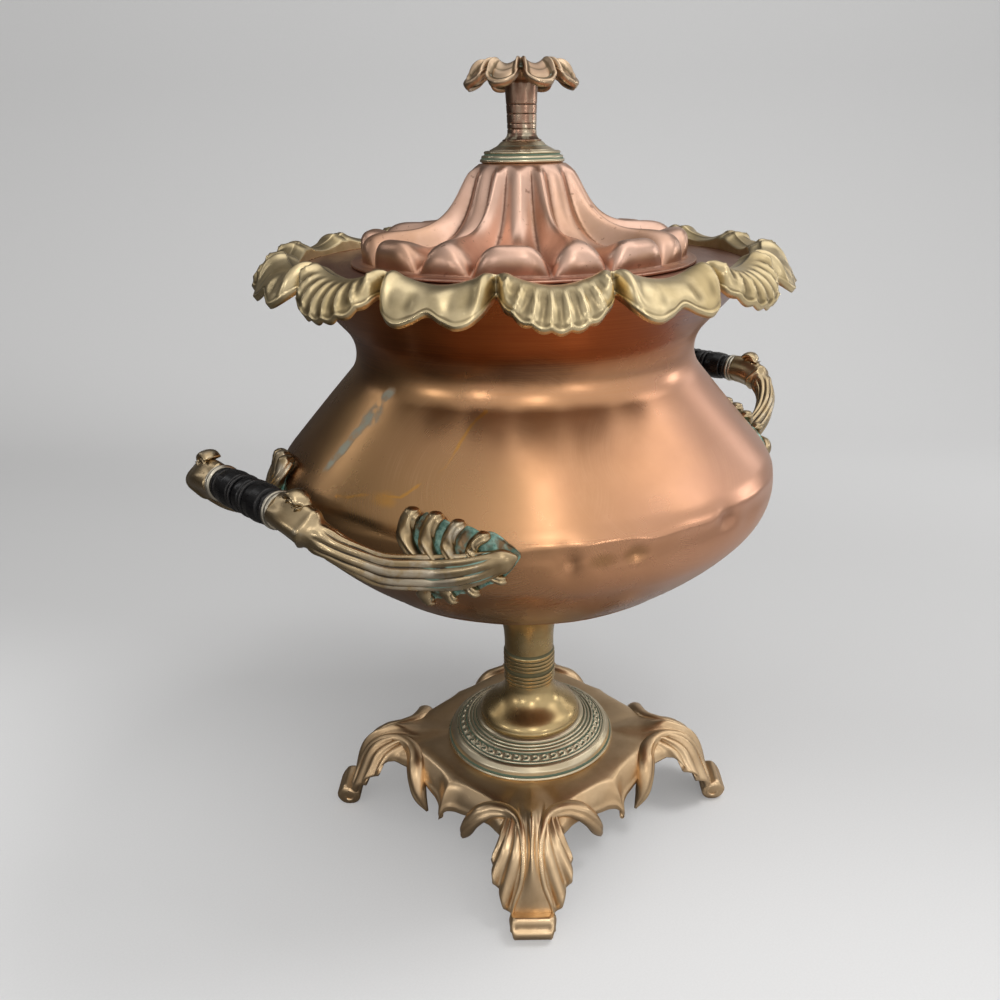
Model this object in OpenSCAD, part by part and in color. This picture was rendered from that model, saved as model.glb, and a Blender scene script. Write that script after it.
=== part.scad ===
// Table samovar: copper bowl on a turned brass pedestal with four cast legs.
// Z is up, the origin is on the axis at the standing plane, the tap points
// along -Y, the handles lie on +X and -X. Millimetres.

/* [Stand] */
// Distance from the axis to the middle of a rolled toe
toe_reach = 117; // [108:1:130]
// Radius of a toe's roll
toe_roll_r = 6.5; // [5:0.5:8]
// Width of a toe
toe_w = 24; // [18:1:30]
// Width of a leg at its knee
knee_w = 42; // [34:1:46]
// Height of the base plate's top under the collar
plate_z = 48; // [44:1:54]
// Thickness of the cast base plate
plate_t = 5; // [4:0.5:7]
// Distance from the axis to a hanging corner of the plate
corner_r = 77; // [72:1:84]
// Drop of a hanging corner below the plate's top
corner_drop = 17; // [12:1:20]

/* [Pedestal] */
// Outer radius of the stepped collar
collar_r = 51; // [46:1:56]
// Height of the stepped collar
collar_h = 16; // [13:1:20]
// Radius of the bell at its foot
bell_r = 31; // [27:1:34]
// Height of the bell with its two groups of rings
bell_h = 42; // [38:1:50]
// Radius of the stem at its waist
waist_r = 14.8; // [13.5:0.1:17]
// Height of the upper stem that flares under the bowl
sleeve_h = 37.4; // [32:0.2:46]
// Radius of the flare at the top of the upper stem
sleeve_top_r = 24; // [20:0.5:26]
// Wall of the hollow stem
stem_wall = 3; // [2:0.1:3.5]
// Radius of the tie rod
tie_r = 4; // [3:0.5:5]

/* [Bowl] */
// Outer radius of the bowl at its widest place
belly_r = 134.3; // [128:0.1:140]
// Radius of the round below the widest place
belly_round = 30; // [24:1:36]
// Turn of the round below the widest place, from the vertical
belly_turn = 40; // [36:1:44]
// Radius of the round above the widest place
shoulder_round = 25; // [20:1:30]
// Height from the widest place to the neck
shoulder_h = 69; // [64:1:80]
// Outer radius of the neck
neck_r = 89; // [86:0.5:94]
// Radius of the round at the neck
neck_round = 20; // [15:1:24]
// Slope of the flare above the neck, from the vertical
flare_slope = 41; // [36:1:45]
// Height from the neck to the rim
flare_h = 41; // [36:1:46]
// Height of the bottom sheet's seam above the bowl's bottom
dish_seam = 28; // [22:0.5:28]
// Height of the upper seam above the widest place
seam_rise = 10; // [6:0.5:14]
// Wall of the copper sheet
sheet_t = 1.5; // [1.2:0.1:2]
// Radius of the mouth that the lid closes
mouth_r = 79; // [74:0.5:82]

/* [Frill] */
// Outer radius of the frill at the middle of a lobe
frill_r = 137; // [130:0.5:142]
// Outer radius of the frill at a notch
notch_r = 123; // [121:0.5:127]
// Height of the frill's crest at a notch, above the shelf
frill_rise = 9.5; // [7:0.5:12]
// Dip of the crest over the middle of a lobe
crest_dip = 5; // [2:0.5:5.5]
// Drop of a lobe's edge below the crest over it
frill_drop = 14; // [10:0.5:18]
// Thickness of the cast frill
frill_t = 2.4; // [2:0.1:3]
// Depth of the flutes on a shell lobe
flute_depth = 1.2; // [0.4:0.1:1.5]
// Turn of the frill on the bowl
frill_turn = 6; // [0:0.5:22]

/* [Lid] */
// Radius of the lid's flat flange
lid_r = 88; // [84:0.5:92]
// Distance by which the noses of the lobes stand outside the mouth
lobe_over = 3.5; // [2:0.1:5]
// Height of a lobe above the flange
lobe_h = 15.5; // [11:0.5:18]
// Height of the lid's crown above the flange
crown_h = 45.6; // [40:0.2:52]
// Radius of the lid's flat crown
crown_r = 21; // [18:0.5:24]
// Height of the ring under the lid
bezel_h = 14; // [10:1:18]
// Turn of the lid on the bowl
lid_turn = 41; // [0:0.5:45]

/* [Finial] */
// Radius of the lower step of the lid's collar
cap_r = 21.2; // [19:0.1:24]
// Height of the lid's collar
cap_h = 10; // [8:0.5:13]
// Height of the finial's stem
stem_h = 27; // [24:0.5:34]
// Waist radius of the finial's stem
stem_r = 7.6; // [6.5:0.1:8.5]
// Radius of the finial's flower
flower_r = 28.5; // [24:0.5:32]
// Height of the flower from its seat to its crest
flower_h = 10; // [8:0.5:12]

/* [Handles] */
// Distance from the axis to the middle of a grip
grip_x = 168; // [164:0.5:174]
// Height of the grips above the bowl's widest place
grip_rise = 28.5; // [24:0.5:33]
// Length of a wooden grip
grip_l = 44; // [38:1:48]
// Radius of a wooden grip
grip_r = 8.6; // [7.5:0.1:9.5]
// Length of a ferrule
ferrule_l = 4; // [3:0.5:6]
// Radius of an arm at the grip
arm_r = 7.2; // [6.5:0.1:8]
// Angle from the handle's middle to a leaf's tip
leaf_tip = 42.5; // [38:0.5:43]
// Half width of a leaf where it is widest
leaf_w = 20; // [15:0.5:22]
// Radius of the handle studs
stud_r = 2; // [1.5:0.1:2.5]

/* [Tap] */
// Height of the tap's shank above the bowl's bottom
tap_rise = 42; // [38:1:46]
// Distance from the bowl's wall to the middle of the tap's barrel
tap_out = 47.58; // [44:0.01:60]
// Radius of the tap's barrel
barrel_r = 13; // [12:0.5:15]
// Height of the tap's barrel
barrel_h = 36; // [32:1:42]
// Radius of the waterway
water_r = 4.5; // [3.5:0.1:5]
// Radius of the shank
shank_r = 8.5; // [8:0.1:10]
// Length of the spout beyond the barrel
spout_l = 34; // [28:1:44]
// Length of the tap's lever
lever_l = 34; // [28:1:42]

/* [Heater] */
// Outer radius of the heater tube
tube_r = 27; // [24:0.5:30]
// Height of the heater tube's mouth above the bowl's widest place
tube_rise = 75; // [70:1:85]
// Height of the heater iron
iron_h = 90; // [80:1:95]
// Gap between the iron and the tube
iron_gap = 2; // [1.5:0.1:3]

/* [Clearances] */
// Gap between pieces that stay together
seat_gap = 0.1; // [0.05:0.01:0.2]
// Gap between the lid and the mouth
lid_gap = 0.8; // [0.5:0.1:1.2]
// Gap under a piece that lifts off
rest_gap = 0.3; // [0.2:0.05:0.4]
// Gap round a fixing in its hole
hole_gap = 0.2; // [0.1:0.05:0.4]
// Running gap of the tap's plug
plug_gap = 0.05; // [0.02:0.01:0.09]

/* [Hidden] */
$fn = 96;
eps = 0.01;
copper = "#b9744f";
dark_copper = "#8a4a2c";
brass = "#a8844a";
old_brass = "#8f7d45";
iron = "#55504a";
ebony = "#1c1a18";

// Heights and radii that follow from the sizes above
bell_z = plate_z + collar_h;
sleeve_z = bell_z + bell_h;
boss_t = 4;
bottom_z = sleeve_z + sleeve_h + boss_t;
join_r = belly_r - belly_round * (1 - cos(belly_turn));
dish_round = join_r / cos(belly_turn);
belly_z = bottom_z + dish_round * (1 - sin(belly_turn)) + belly_round * sin(belly_turn);
dish_z = bottom_z + dish_round;
neck_z = belly_z + shoulder_h;
rim_z = neck_z + flare_h;
dish_seam_z = bottom_z + dish_seam;
seam_z = belly_z + seam_rise;
shoulder_dx = neck_r + neck_round - belly_r + shoulder_round;
shoulder_span = norm([shoulder_dx, shoulder_h]);
shoulder_slope = atan2(shoulder_h, shoulder_dx)
    - acos((shoulder_round + neck_round) / shoulder_span);
rim_r = neck_r + neck_round * (1 - cos(flare_slope))
    + (flare_h - neck_round * sin(flare_slope)) * tan(flare_slope);
plate_top = rim_z + sheet_t;
lid_t = 1.2;
lobe_r = mouth_r + lobe_over;
flange_z = plate_top + rest_gap + lid_t;
crown_z = flange_z + crown_h;
flower_z = crown_z + cap_h + stem_h;
rod_r = 2.5;
grip_z = belly_z + grip_rise;
socket_y = grip_l / 2 + ferrule_l;
tap_z = bottom_z + tap_rise;
tube_wall = 1.5;
tube_flange_r = tube_r + 7;

// A point on a cubic curve through a and d, drawn towards b and c
function curve(a, b, c, d, t) =
    pow(1 - t, 3) * a + 3 * t * pow(1 - t, 2) * b + 3 * t * t * (1 - t) * c + pow(t, 3) * d;
function blend(t) = let (c = max(0, min(1, t))) c * c * (3 - 2 * c);
function polar(r, a, z) = [r * cos(a), r * sin(a), z];

// Skin over a row of rings with the same number of points each. A ring's points run
// right-handed about the way in which the rings follow each other.
module skin(rings, closed) {
    n = len(rings);
    m = len(rings[0]);
    last = closed ? n : n - 1;
    sides = [for (i = [0:last - 1]) for (j = [0:m - 1]) let (
        a = i * m + j, b = i * m + (j + 1) % m,
        c = ((i + 1) % n) * m + (j + 1) % m, d = ((i + 1) % n) * m + j)
        each [[a, c, b], [a, d, c]]];
    ends = closed ? [] : [[for (j = [0:m - 1]) j], [for (j = [m - 1:-1:0]) (n - 1) * m + j]];
    polyhedron(points = [for (r = rings) each r], faces = concat(sides, ends));
}

module ring(r_out, r_in, h) {
    difference() {
        cylinder(r = r_out, h = h);
        translate([0, 0, -1]) cylinder(r = r_in, h = h + 2);
    }
}

module hex_nut(across, hole_r, h) {
    difference() {
        cylinder(r = across / sqrt(3), h = h, $fn = 6);
        translate([0, 0, -1]) cylinder(r = hole_r, h = h + 2, $fn = 48);
    }
}

// ---- Stand ----------------------------------------------------------------

leg_steps = 9;
leg_points = 5;
// The rolls are flattened where they stand
toe_z = toe_roll_r - 0.6;

// Middle line of a leg: level from the plate, over the knee, down to the toe
function leg_line(t) = curve([collar_r + 2, plate_z - 3], [toe_reach - 14, plate_z + 7],
    [toe_reach - 9, plate_z - 24], [toe_reach, toe_roll_r + 2], t);
function leg_half(t) = t < 0.6
    ? curve(7, 11, knee_w / 2 - 5, knee_w / 2, t / 0.6)
    : curve(knee_w / 2, knee_w / 2 + 1, toe_w / 2 + 3, toe_w / 2 - 0.5, (t - 0.6) / 0.4);
// Section across a leg: arched, with a middle ridge and flutes, hollow below
function leg_ring(t) = let (
        p = leg_line(t), q = leg_line(t + 0.01) - leg_line(t - 0.01), n = [-q[1], q[0]] / norm(q),
        w = leg_half(t), wave = blend((t - 0.2) * 4) * blend((1 - t) * 4 + 0.3))
    concat(
        [for (k = [leg_points:-1:-leg_points]) let (u = k / leg_points,
            h = 1.2 - 5 * u * u + (k % 2 == 0 ? wave : -wave))
            [p[0] + n[0] * h, u * w, p[1] + n[1] * h]],
        [for (u = [-0.85, 0, 0.85]) let (h = 1 - plate_t - 5 * u * u)
            [p[0] + n[0] * h, u * w, p[1] + n[1] * h]]);

// Curled side leaf: leaves the neck of the leg and runs round the plate's edge to a
// tip that hangs free
leaf_r = 5.6;
function leaf_line(t) = [
    curve(corner_r + 3, corner_r - 12, corner_r - 6, corner_r - 14, t),
    curve(6, 22, 38, 40, t),
    curve(plate_z - 3, plate_z + 2, plate_z - 3, plate_z - corner_drop - 11, t)];
module side_leaf() {
    skin([for (i = [0:5]) let (t = i / 5, p = leaf_line(t),
        d = leaf_line(t + 0.01) - leaf_line(t - 0.01), x = d / norm(d),
        w0 = cross(x, [0.6, 0.3, 1]), w = w0 / norm(w0), v = cross(w, x),
        r = leaf_r * sqrt(1 - 0.9 * t * t))
        [for (j = [0:5]) p + w * r * cos(60 * j) - v * 0.8 * r * sin(60 * j)]], false);
}

module leg() {
    skin([for (i = [0:leg_steps]) leg_ring(i / leg_steps)], false);
    hull() {
        translate([toe_reach, 0, toe_z]) rotate([90, 0, 0])
            cylinder(r = toe_roll_r, h = toe_w - 5, center = true, $fn = 16);
        translate([toe_reach, 0, toe_z]) rotate([90, 0, 0])
            cylinder(r = toe_roll_r - 2, h = toe_w, center = true, $fn = 16);
    }
    hull() {
        translate([toe_reach - 5, 0, toe_z + 4]) cube([4, toe_w - 7, 4], center = true);
        translate([toe_reach - 9, 0, toe_z + 11]) cube([3, toe_w - 5, 3], center = true);
    }
    side_leaf();
    mirror([0, 1, 0]) side_leaf();
}

// Outline of the plate: it reaches out along the legs' leaves and draws in before
// the hanging corner that lies between each two legs
plate_steps = 40;
neck_reach = 84;
corner_bump = corner_r - neck_reach + 17;
function cornered(a) = abs(cos(2 * a));
function plate_reach(a) = let (c = cornered(a))
    neck_reach - 17 * c * c + corner_bump * pow(c, 40);
function plate_low(a, u) = (corner_drop * pow(cornered(a), 4) + 2) * u * u;

module plate() {
    inner = tie_r + hole_gap;
    top_r = collar_r - 3;
    skin([for (i = [0:plate_steps - 1]) let (a = i * 360 / plate_steps, reach = plate_reach(a))
        [polar(inner, a, plate_z), polar(top_r, a, plate_z),
            for (u = [0.5, 1]) polar(top_r + (reach - top_r) * u, a, plate_z - plate_low(a, u)),
            polar(top_r + (reach - top_r) * 0.9, a, plate_z - plate_low(a, 1) - 1.5),
            polar(top_r + (reach - top_r) * 0.35, a, plate_z - plate_low(a, 0.4) - plate_t),
            polar(top_r - 6, a, plate_under), polar(inner, a, plate_under)]], true);
}

module base_casting() color(brass) difference() {
    union() {
        plate();
        for (a = [45:90:315]) rotate([0, 0, a]) leg();
    }
    translate([-toe_reach * 2, -toe_reach * 2, -plate_z])
        cube([toe_reach * 4, toe_reach * 4, plate_z]);
}

module base_collar() color(old_brass) difference() {
    h = collar_h;
    r = collar_r;
    translate([0, 0, plate_z]) rotate_extrude() difference() {
        union() {
            square([r - 3, 1.5]);
            translate([r - 2, 1.8]) circle(r = 1.8, $fn = 32);
            square([r - 5, 6]);
            translate([r - 7, 5]) circle(r = 2.4, $fn = 32);
            polygon([[0, 0], [r - 6.5, 5], [r - 7, 8], [r - 12, h - 3.5], [r - 13.5, h - 2.5],
                [bell_r + 1, h], [0, h]]);
            for (k = [0:2]) translate([r - 13.8 - k * 1.8, h - 2.6 + k * 0.75])
                circle(r = 0.9, $fn = 24);
        }
        translate([-2 * r, -r]) square([2 * r + tie_r + hole_gap, 3 * r]);
        translate([-r, -r]) square([3 * r, r]);
        // Hollow under the collar
        square([bell_r - 6, h - 4]);
    }
    translate([0, 0, plate_z - 1]) cylinder(r = tie_r + hole_gap, h = h + 2, $fn = 48);
}

// Outer line of the bell, from its foot to the top of the rings
ring_step = 2.7;
module fine_rings(z) {
    for (k = [0:2]) translate([waist_r, z + k * ring_step]) circle(r = 0.8, $fn = 20);
}

module pedestal_bell() color(brass) translate([0, 0, bell_z]) rotate_extrude() {
    low = bell_h * 0.57;
    bore = waist_r - stem_wall;
    difference() {
        union() {
            polygon(concat([[bore, 0], [bell_r, 0], [bell_r, 1.2]],
                [for (i = [1:14]) curve([bell_r, 1.2], [bell_r - 1, 9], [waist_r, 10],
                    [waist_r, low], i / 14)],
                [[waist_r, bell_h], [bore, bell_h]]));
            fine_rings(low + 1);
            fine_rings(low + 10.5);
        }
        // Hollow foot of the bell
        polygon([[0, -1], [bell_r - 5, -1], [bell_r - 6, 2], [bore, 12], [0, 12]]);
    }
}

module stem_sleeve() color(brass) translate([0, 0, sleeve_z]) rotate_extrude() {
    bore = waist_r - stem_wall;
    polygon(concat([[bore, 0], [waist_r + 0.6, 0], [waist_r + 0.6, 1.5], [waist_r, 2.5]],
        [for (i = [0:12]) curve([waist_r, sleeve_h * 0.25], [waist_r, sleeve_h * 0.7],
            [sleeve_top_r - 4, sleeve_h * 0.9], [sleeve_top_r, sleeve_h - 2], i / 12)],
        [[sleeve_top_r, sleeve_h], [bore, sleeve_h]]));
}

boss_depth = 24;
tie_engage = 14;
module bowl_boss() color(brass) difference() {
    union() {
        translate([0, 0, bottom_z - boss_t]) cylinder(r = sleeve_top_r, h = boss_t + 2);
        translate([0, 0, bottom_z - boss_t - boss_depth])
            cylinder(r = waist_r - stem_wall - seat_gap, h = boss_depth + eps);
    }
    bowl_solid(-seat_gap / 2);
    translate([0, 0, bottom_z - boss_t - boss_depth - 1])
        cylinder(r = tie_r + plug_gap, h = tie_engage + 2, $fn = 48);
}

tie_top = bottom_z - boss_t - boss_depth + tie_engage;
washer_t = 2;
nut_t = 6;
plate_under = plate_z - plate_t - 1;
module tie_rod() color(iron) {
    foot = plate_under - washer_t - nut_t - 3;
    translate([0, 0, foot]) cylinder(r = tie_r, h = tie_top - foot, $fn = 48);
}

module tie_washer() color(iron) translate([0, 0, plate_under - washer_t])
    ring(16, tie_r + hole_gap, washer_t);

module tie_nut() color(iron) translate([0, 0, plate_under - washer_t - nut_t])
    hex_nut(15, tie_r + plug_gap, nut_t);

// ---- Bowl -----------------------------------------------------------------

arc_step = 12;
// Outline of the bowl from the bottom to the rim, drawn in by o
function bowl_line(o) = let (g = flare_slope, k = neck_r + neck_round) concat(
    [for (i = [0:arc_step]) let (t = (90 - belly_turn) * i / arc_step)
        [(dish_round - o) * sin(t), dish_z - (dish_round - o) * cos(t)]],
    [for (i = [1:arc_step]) let (t = belly_turn * (1 - i / arc_step))
        [belly_r - belly_round + (belly_round - o) * cos(t),
            belly_z - (belly_round - o) * sin(t)]],
    [for (i = [1:arc_step]) let (t = shoulder_slope * i / arc_step)
        [belly_r - shoulder_round + (shoulder_round - o) * cos(t),
            belly_z + (shoulder_round - o) * sin(t)]],
    [for (i = [0:arc_step]) let (t = shoulder_slope - (shoulder_slope + g) * i / arc_step)
        [k - (neck_round + o) * cos(t), neck_z - (neck_round + o) * sin(t)]],
    [[rim_r - o / cos(g), rim_z]]);

// Outer radius of the bowl at height z, between the bottom and the neck
function bowl_r(z) = let (
        low = belly_z - belly_round * sin(belly_turn),
        high = belly_z + shoulder_round * sin(shoulder_slope),
        high_r = belly_r - shoulder_round * (1 - cos(shoulder_slope)))
    z < low ? sqrt(pow(dish_round, 2) - pow(dish_z - z, 2))
    : z < belly_z ? belly_r - belly_round + sqrt(pow(belly_round, 2) - pow(belly_z - z, 2))
    : z < high ? belly_r - shoulder_round + sqrt(pow(shoulder_round, 2) - pow(z - belly_z, 2))
    : high_r - (z - high) * tan(shoulder_slope);
// Turn of the bowl's surface from the vertical at height z, up is positive
function bowl_turn(z) = z < belly_z
    ? -min(asin(min(1, (belly_z - z) / belly_round)), belly_turn)
    : min(asin(min(1, (z - belly_z) / shoulder_round)), shoulder_slope);

module bowl_solid(o) {
    rotate_extrude() polygon(concat(bowl_line(o), [[0, rim_z]]));
}

module bowl_sheet(z_low, z_high) intersection() {
    rotate_extrude() polygon(concat(bowl_line(0), [for (i = [len(bowl_line(0)) - 1:-1:0])
        bowl_line(sheet_t)[i]]));
    translate([0, 0, z_low]) cylinder(r = 2 * belly_r, h = z_high - z_low);
}

stud_angle = 31;
tip_stud_angle = 37;
stud_z = belly_z - 1;
// Places each child at every stud, with X pointing out of the bowl
module at_studs() {
    for (side = [0, 180]) for (end = [-1, 1]) for (a = [stud_angle, tip_stud_angle])
        rotate([0, 0, side + end * a]) translate([0, 0, stud_z]) rotate([0, 90, 0])
            translate([0, 0, bowl_r(stud_z)]) children();
}

module bowl_bottom() color(copper) bowl_sheet(bottom_z - 1, dish_seam_z);

module bowl_lower() color(copper) difference() {
    bowl_sheet(dish_seam_z, seam_z);
    at_studs() translate([0, 0, -10]) cylinder(r = stud_r + hole_gap, h = 20, $fn = 32);
    tap_hole();
}

module bowl_upper() color(dark_copper) bowl_sheet(seam_z, rim_z);

module rim_plate() color(dark_copper) translate([0, 0, rim_z])
    ring(rim_r, mouth_r, sheet_t);

// ---- Frill ----------------------------------------------------------------

lobes = 16;
lobe_angle = 360 / lobes;
frill_foot_r = rim_r - 5;
foot_rise = (frill_rise - crest_dip) * 0.6;
crest_r = rim_r + 1;
crest_z = plate_top + frill_rise;
shell_steps = 10;
wave_steps = 7;
shell_flutes = 5;
notch_hang = 0.5;

// How full a lobe is, 0 at a notch and 1 at its middle, q runs over the lobe
function lobe_swell(q) = pow(sin(180 * q), 0.6);
// How far its edge hangs: the arch in a wave lobe parts its two petals
function lobe_hang(q, shell) = notch_hang + (1 - notch_hang) * lobe_swell(q)
    * (shell ? 1 : 1 - 0.45 * exp(-pow((q - 0.5) / 0.15, 2)));
function frill_point(a, q, shell, v, under) = let (
        hang = lobe_hang(q, shell),
        edge_r = notch_r + (frill_r - notch_r) * lobe_swell(q),
        flute = shell ? flute_depth * cos(360 * shell_flutes * q) * v * lobe_swell(q) : 0,
        r = crest_r + (edge_r - crest_r) * sin(90 * v),
        z = crest_z - crest_dip * pow(sin(180 * q), 1.5)
            - frill_drop * hang * (1 - cos(90 * v)) + flute)
    polar(r - under * frill_t * sin(90 * v * hang), a, z - under * frill_t * cos(90 * v * hang));
function frill_ring(a, q, shell) = concat(
    [polar(frill_foot_r, a, plate_top), polar(frill_foot_r + 0.5, a, plate_top + foot_rise)],
    [for (v = [0, 0.35, 0.7, 1]) frill_point(a, q, shell, v, 0)],
    [for (v = [1, 0.7, 0.3]) frill_point(a, q, shell, v, 1)],
    [polar(frill_foot_r + 0.5 + frill_t, a, plate_top + foot_rise * 0.4),
        polar(frill_foot_r + frill_t, a, plate_top)]);

module rim_frill() color(old_brass) rotate([0, 0, frill_turn - lobe_angle / 2]) skin(
    [for (i = [0:lobes - 1]) let (shell = i % 2 == 0, n = shell ? shell_steps : wave_steps)
        each [for (k = [0:n - 1]) frill_ring((i + k / n) * lobe_angle, k / n, shell)]], true);

// ---- Lid ------------------------------------------------------------------

rod_hole = rod_r + hole_gap;
lid_lobe_steps = 5;
lid_stations = [0, 0.16, 0.3, 0.45, 0.6, 0.8];
// Lines of the lid over a lobe and along a valley, as radius and height
function lid_ridge(t) = t < 0.6
    ? curve([crown_r, crown_h], [crown_r + 12, crown_h - 2], [crown_r + 9, lobe_h + 2],
        [lobe_r - 26, lobe_h], t / 0.6)
    : curve([lobe_r - 26, lobe_h], [lobe_r - 14, lobe_h + 1], [lobe_r, lobe_h - 1],
        [lobe_r, 1], (t - 0.6) / 0.4);
function lid_valley(t) = t < 0.6
    ? curve([crown_r, crown_h], [crown_r + 9, crown_h - 4], [crown_r + 5, 7],
        [lobe_r - 23, 4], t / 0.6)
    : curve([lobe_r - 23, 4], [lobe_r - 13, 2], [lobe_r - 8, 0.8],
        [lobe_r - 3, 0.6], (t - 0.6) / 0.4);
function lid_point(a, c, t, under) = let (p = lid_valley(t) + (lid_ridge(t) - lid_valley(t)) * c)
    polar(p[0] - under * 0.8, a, flange_z + p[1] - under * lid_t);
function lid_ring(a, c) = concat(
    [polar(rod_hole, a, crown_z)],
    [for (t = lid_stations) lid_point(a, c, t, 0)], [lid_point(a, c, 1, 0)],
    [polar(lobe_r + 1.5, a, flange_z), polar(lid_r, a, flange_z),
        polar(lid_r, a, flange_z - lid_t), polar(lobe_r - 1.5, a, flange_z - lid_t)],
    [for (i = [len(lid_stations) - 1:-1:0]) lid_point(a, c, lid_stations[i], 1)],
    [polar(rod_hole, a, crown_z - lid_t)]);
// Wide and narrow lobes take turns, a lobe is full at its middle
wide_lobe = 25.5;
function lobe_full(q) = pow(sin(180 * q), 0.7);

module lid_shell() color(copper) rotate([0, 0, lid_turn - wide_lobe / 2]) skin(
    [for (i = [0:lobes - 1]) let (wide = i % 2 == 0, start = floor(i / 2) * 45
            + (wide ? 0 : wide_lobe), span = wide ? wide_lobe : 45 - wide_lobe)
        each [for (k = [0:lid_lobe_steps - 1]) let (q = k / lid_lobe_steps)
            lid_ring(start + q * span, lobe_full(q))]], true);

bezel_top = flange_z - lid_t + 0.5;
module lid_bezel() color(copper) translate([0, 0, bezel_top - bezel_h])
    ring(mouth_r - lid_gap, mouth_r - lid_gap - 1.2, bezel_h);

module lid_collar() color(old_brass) translate([0, 0, crown_z]) rotate_extrude() difference() {
    r = cap_r;
    union() {
        square([r - 2, 2]);
        translate([r - 2, 2]) circle(r = 2, $fn = 32);
        polygon([[0, 0], [r - 2.5, 3], [r - 3.4, 5], [r - 3.4, 6.5], [r - 6, cap_h - 1.5],
            [r - 9, cap_h], [0, cap_h]]);
        translate([r - 4, 5.6]) circle(r = 1.4, $fn = 32);
    }
    translate([-2 * r, -r]) square([2 * r + rod_hole, 3 * r]);
    translate([-r, -r]) square([3 * r, r]);
}

// Radius of the finial's stem from its foot (0) to the flower (1)
stalk_flare = 1.5;
function stalk_r(u) = stem_r + stalk_flare * pow(u, 2.2);
module finial_stem() color(brass) translate([0, 0, crown_z + cap_h]) difference() {
    rotate_extrude() union() {
        polygon(concat([[0, 0], [stem_r + 2.6, 0], [stem_r + 2.6, 1.4], [stem_r + 0.6, 3]],
            [for (i = [2:14]) [stalk_r(i / 14), stem_h * i / 14]], [[0, stem_h]]));
        for (u = [0.22, 0.29, 0.5, 0.57, 0.64])
            translate([stalk_r(u) - 0.3, stem_h * u]) circle(r = 0.8, $fn = 20);
    }
    translate([0, 0, -1]) cylinder(r = rod_r + plug_gap, h = stem_h - 5, $fn = 32);
}

petals = 8;
petal_steps = 6;
function petal_hang(q) = 0.35 + 0.65 * pow(sin(180 * q), 0.6);
function flower_ring(a, q) = let (h = petal_hang(q), edge = flower_r - 4 * (1 - h),
        crest = flower_r * 0.58, top = flower_z + flower_h,
        drop = flower_h) concat(
    [polar(0.8, a, flower_z + flower_h - 4), polar(crest * 0.5, a, top - 3.4),
        polar(crest * 0.85, a, top - 0.6 - 0.8 * h)],
    [for (v = [0.3, 0.7, 1]) polar(crest + (edge - crest) * sin(90 * v), a,
        top - h - drop * h * (1 - cos(90 * v)))],
    [for (v = [1, 0.4]) polar(crest + (edge - crest) * sin(90 * v) - 2.2 * v, a,
        top - 2 - h - drop * h * (1 - cos(90 * v)))],
    [polar(stem_r + stalk_flare, a, flower_z), polar(0.8, a, flower_z)]);

module finial_flower() color(old_brass) skin(
    [for (i = [0:petals - 1]) each [for (k = [0:petal_steps - 1]) let (q = k / petal_steps)
        flower_ring((i + q) * 360 / petals, q)]], true);

lid_nut_t = 5;
module finial_rod() color(iron) {
    foot = crown_z - lid_t - 1 - lid_nut_t - 2;
    translate([0, 0, foot]) cylinder(r = rod_r, h = crown_z + cap_h + stem_h - 8 - foot, $fn = 48);
}

module finial_washer() color(brass) translate([0, 0, crown_z - lid_t - 1])
    ring(crown_r - 8, rod_hole, 1 - seat_gap);

module finial_nut() color(brass) translate([0, 0, crown_z - lid_t - 1 - lid_nut_t])
    hex_nut(10, rod_r + plug_gap, lid_nut_t - seat_gap);

// ---- Handles --------------------------------------------------------------

arm_points = 16;
arm_steps = 9;
leaf_steps = 17;
root_angle = 22;
leaf_back = 0.25;

// Middle line of an arm from the grip's socket to the leaf's root
function arm_line(t) = curve([grip_x, socket_y + seat_gap, grip_z], [grip_x, socket_y + 22, grip_z],
    [grip_x - 2, socket_y + 33, belly_z + 14], polar(belly_r + 10, root_angle, belly_z), t);
function arm_ring(t) = let (
        p = arm_line(t), d = arm_line(t + 0.01) - arm_line(t - 0.01), x = d / norm(d),
        w0 = cross(x, [0, 0, 1]), w = w0 / norm(w0), up = cross(w, x),
        r = arm_r * (1 + 0.16 * sin(180 * min(1, 3 * t)) - 0.12 * blend(3 * t)))
    [for (j = [0:arm_points - 1]) let (b = 360 * j / arm_points)
        p + (up * cos(b) * (1 + 0.35 * blend(t * 2 - 1)) + w * sin(b))
            * r * (1 + 0.09 * cos(4 * b) * blend(t * 4))];

// Leaf on the bowl: u runs from root to tip, b goes round the section
function leaf_angle(u) = root_angle + 2 + (leaf_tip - root_angle - 2) * u;
function leaf_mid(u) = belly_z - 4 - 2 * sin(180 * min(1, u * 1.3)) + 9 * u * u;
function leaf_half(u) = let (taper = sqrt(max(0.004, 1 - pow(u, 1.6))),
        lobe = 1 - 0.2 * pow(abs(cos(180 * 3.5 * u)), 2))
    leaf_w * taper * lobe * (0.55 + 0.45 * blend(u * 5));
function leaf_point(u, b) = let (
        s = cos(b), z = leaf_mid(u) + leaf_half(u) * s * cos(bowl_turn(leaf_mid(u))),
        rib = (10 * pow(1 - u, 3) + 4.5 * sqrt(1 - 0.8 * u)) * exp(-pow(s * leaf_half(u) / 7, 2)),
        vein = 0.7 * cos(s * 720) * (1 - u),
        h = sin(b) > 0.01 ? 1.4 + rib + vein + 1.2 * sin(b) : sin(b) > -0.01 ? 1.2 : leaf_back,
        turn = bowl_turn(z), a = leaf_angle(u) - 3 * abs(s) * (1 - u))
    polar(bowl_r(z) + h * cos(turn), a, z + h * sin(turn));
function leaf_ring(u) = [for (j = [0:arm_points - 1]) leaf_point(u, 360 * j / arm_points)];

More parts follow.
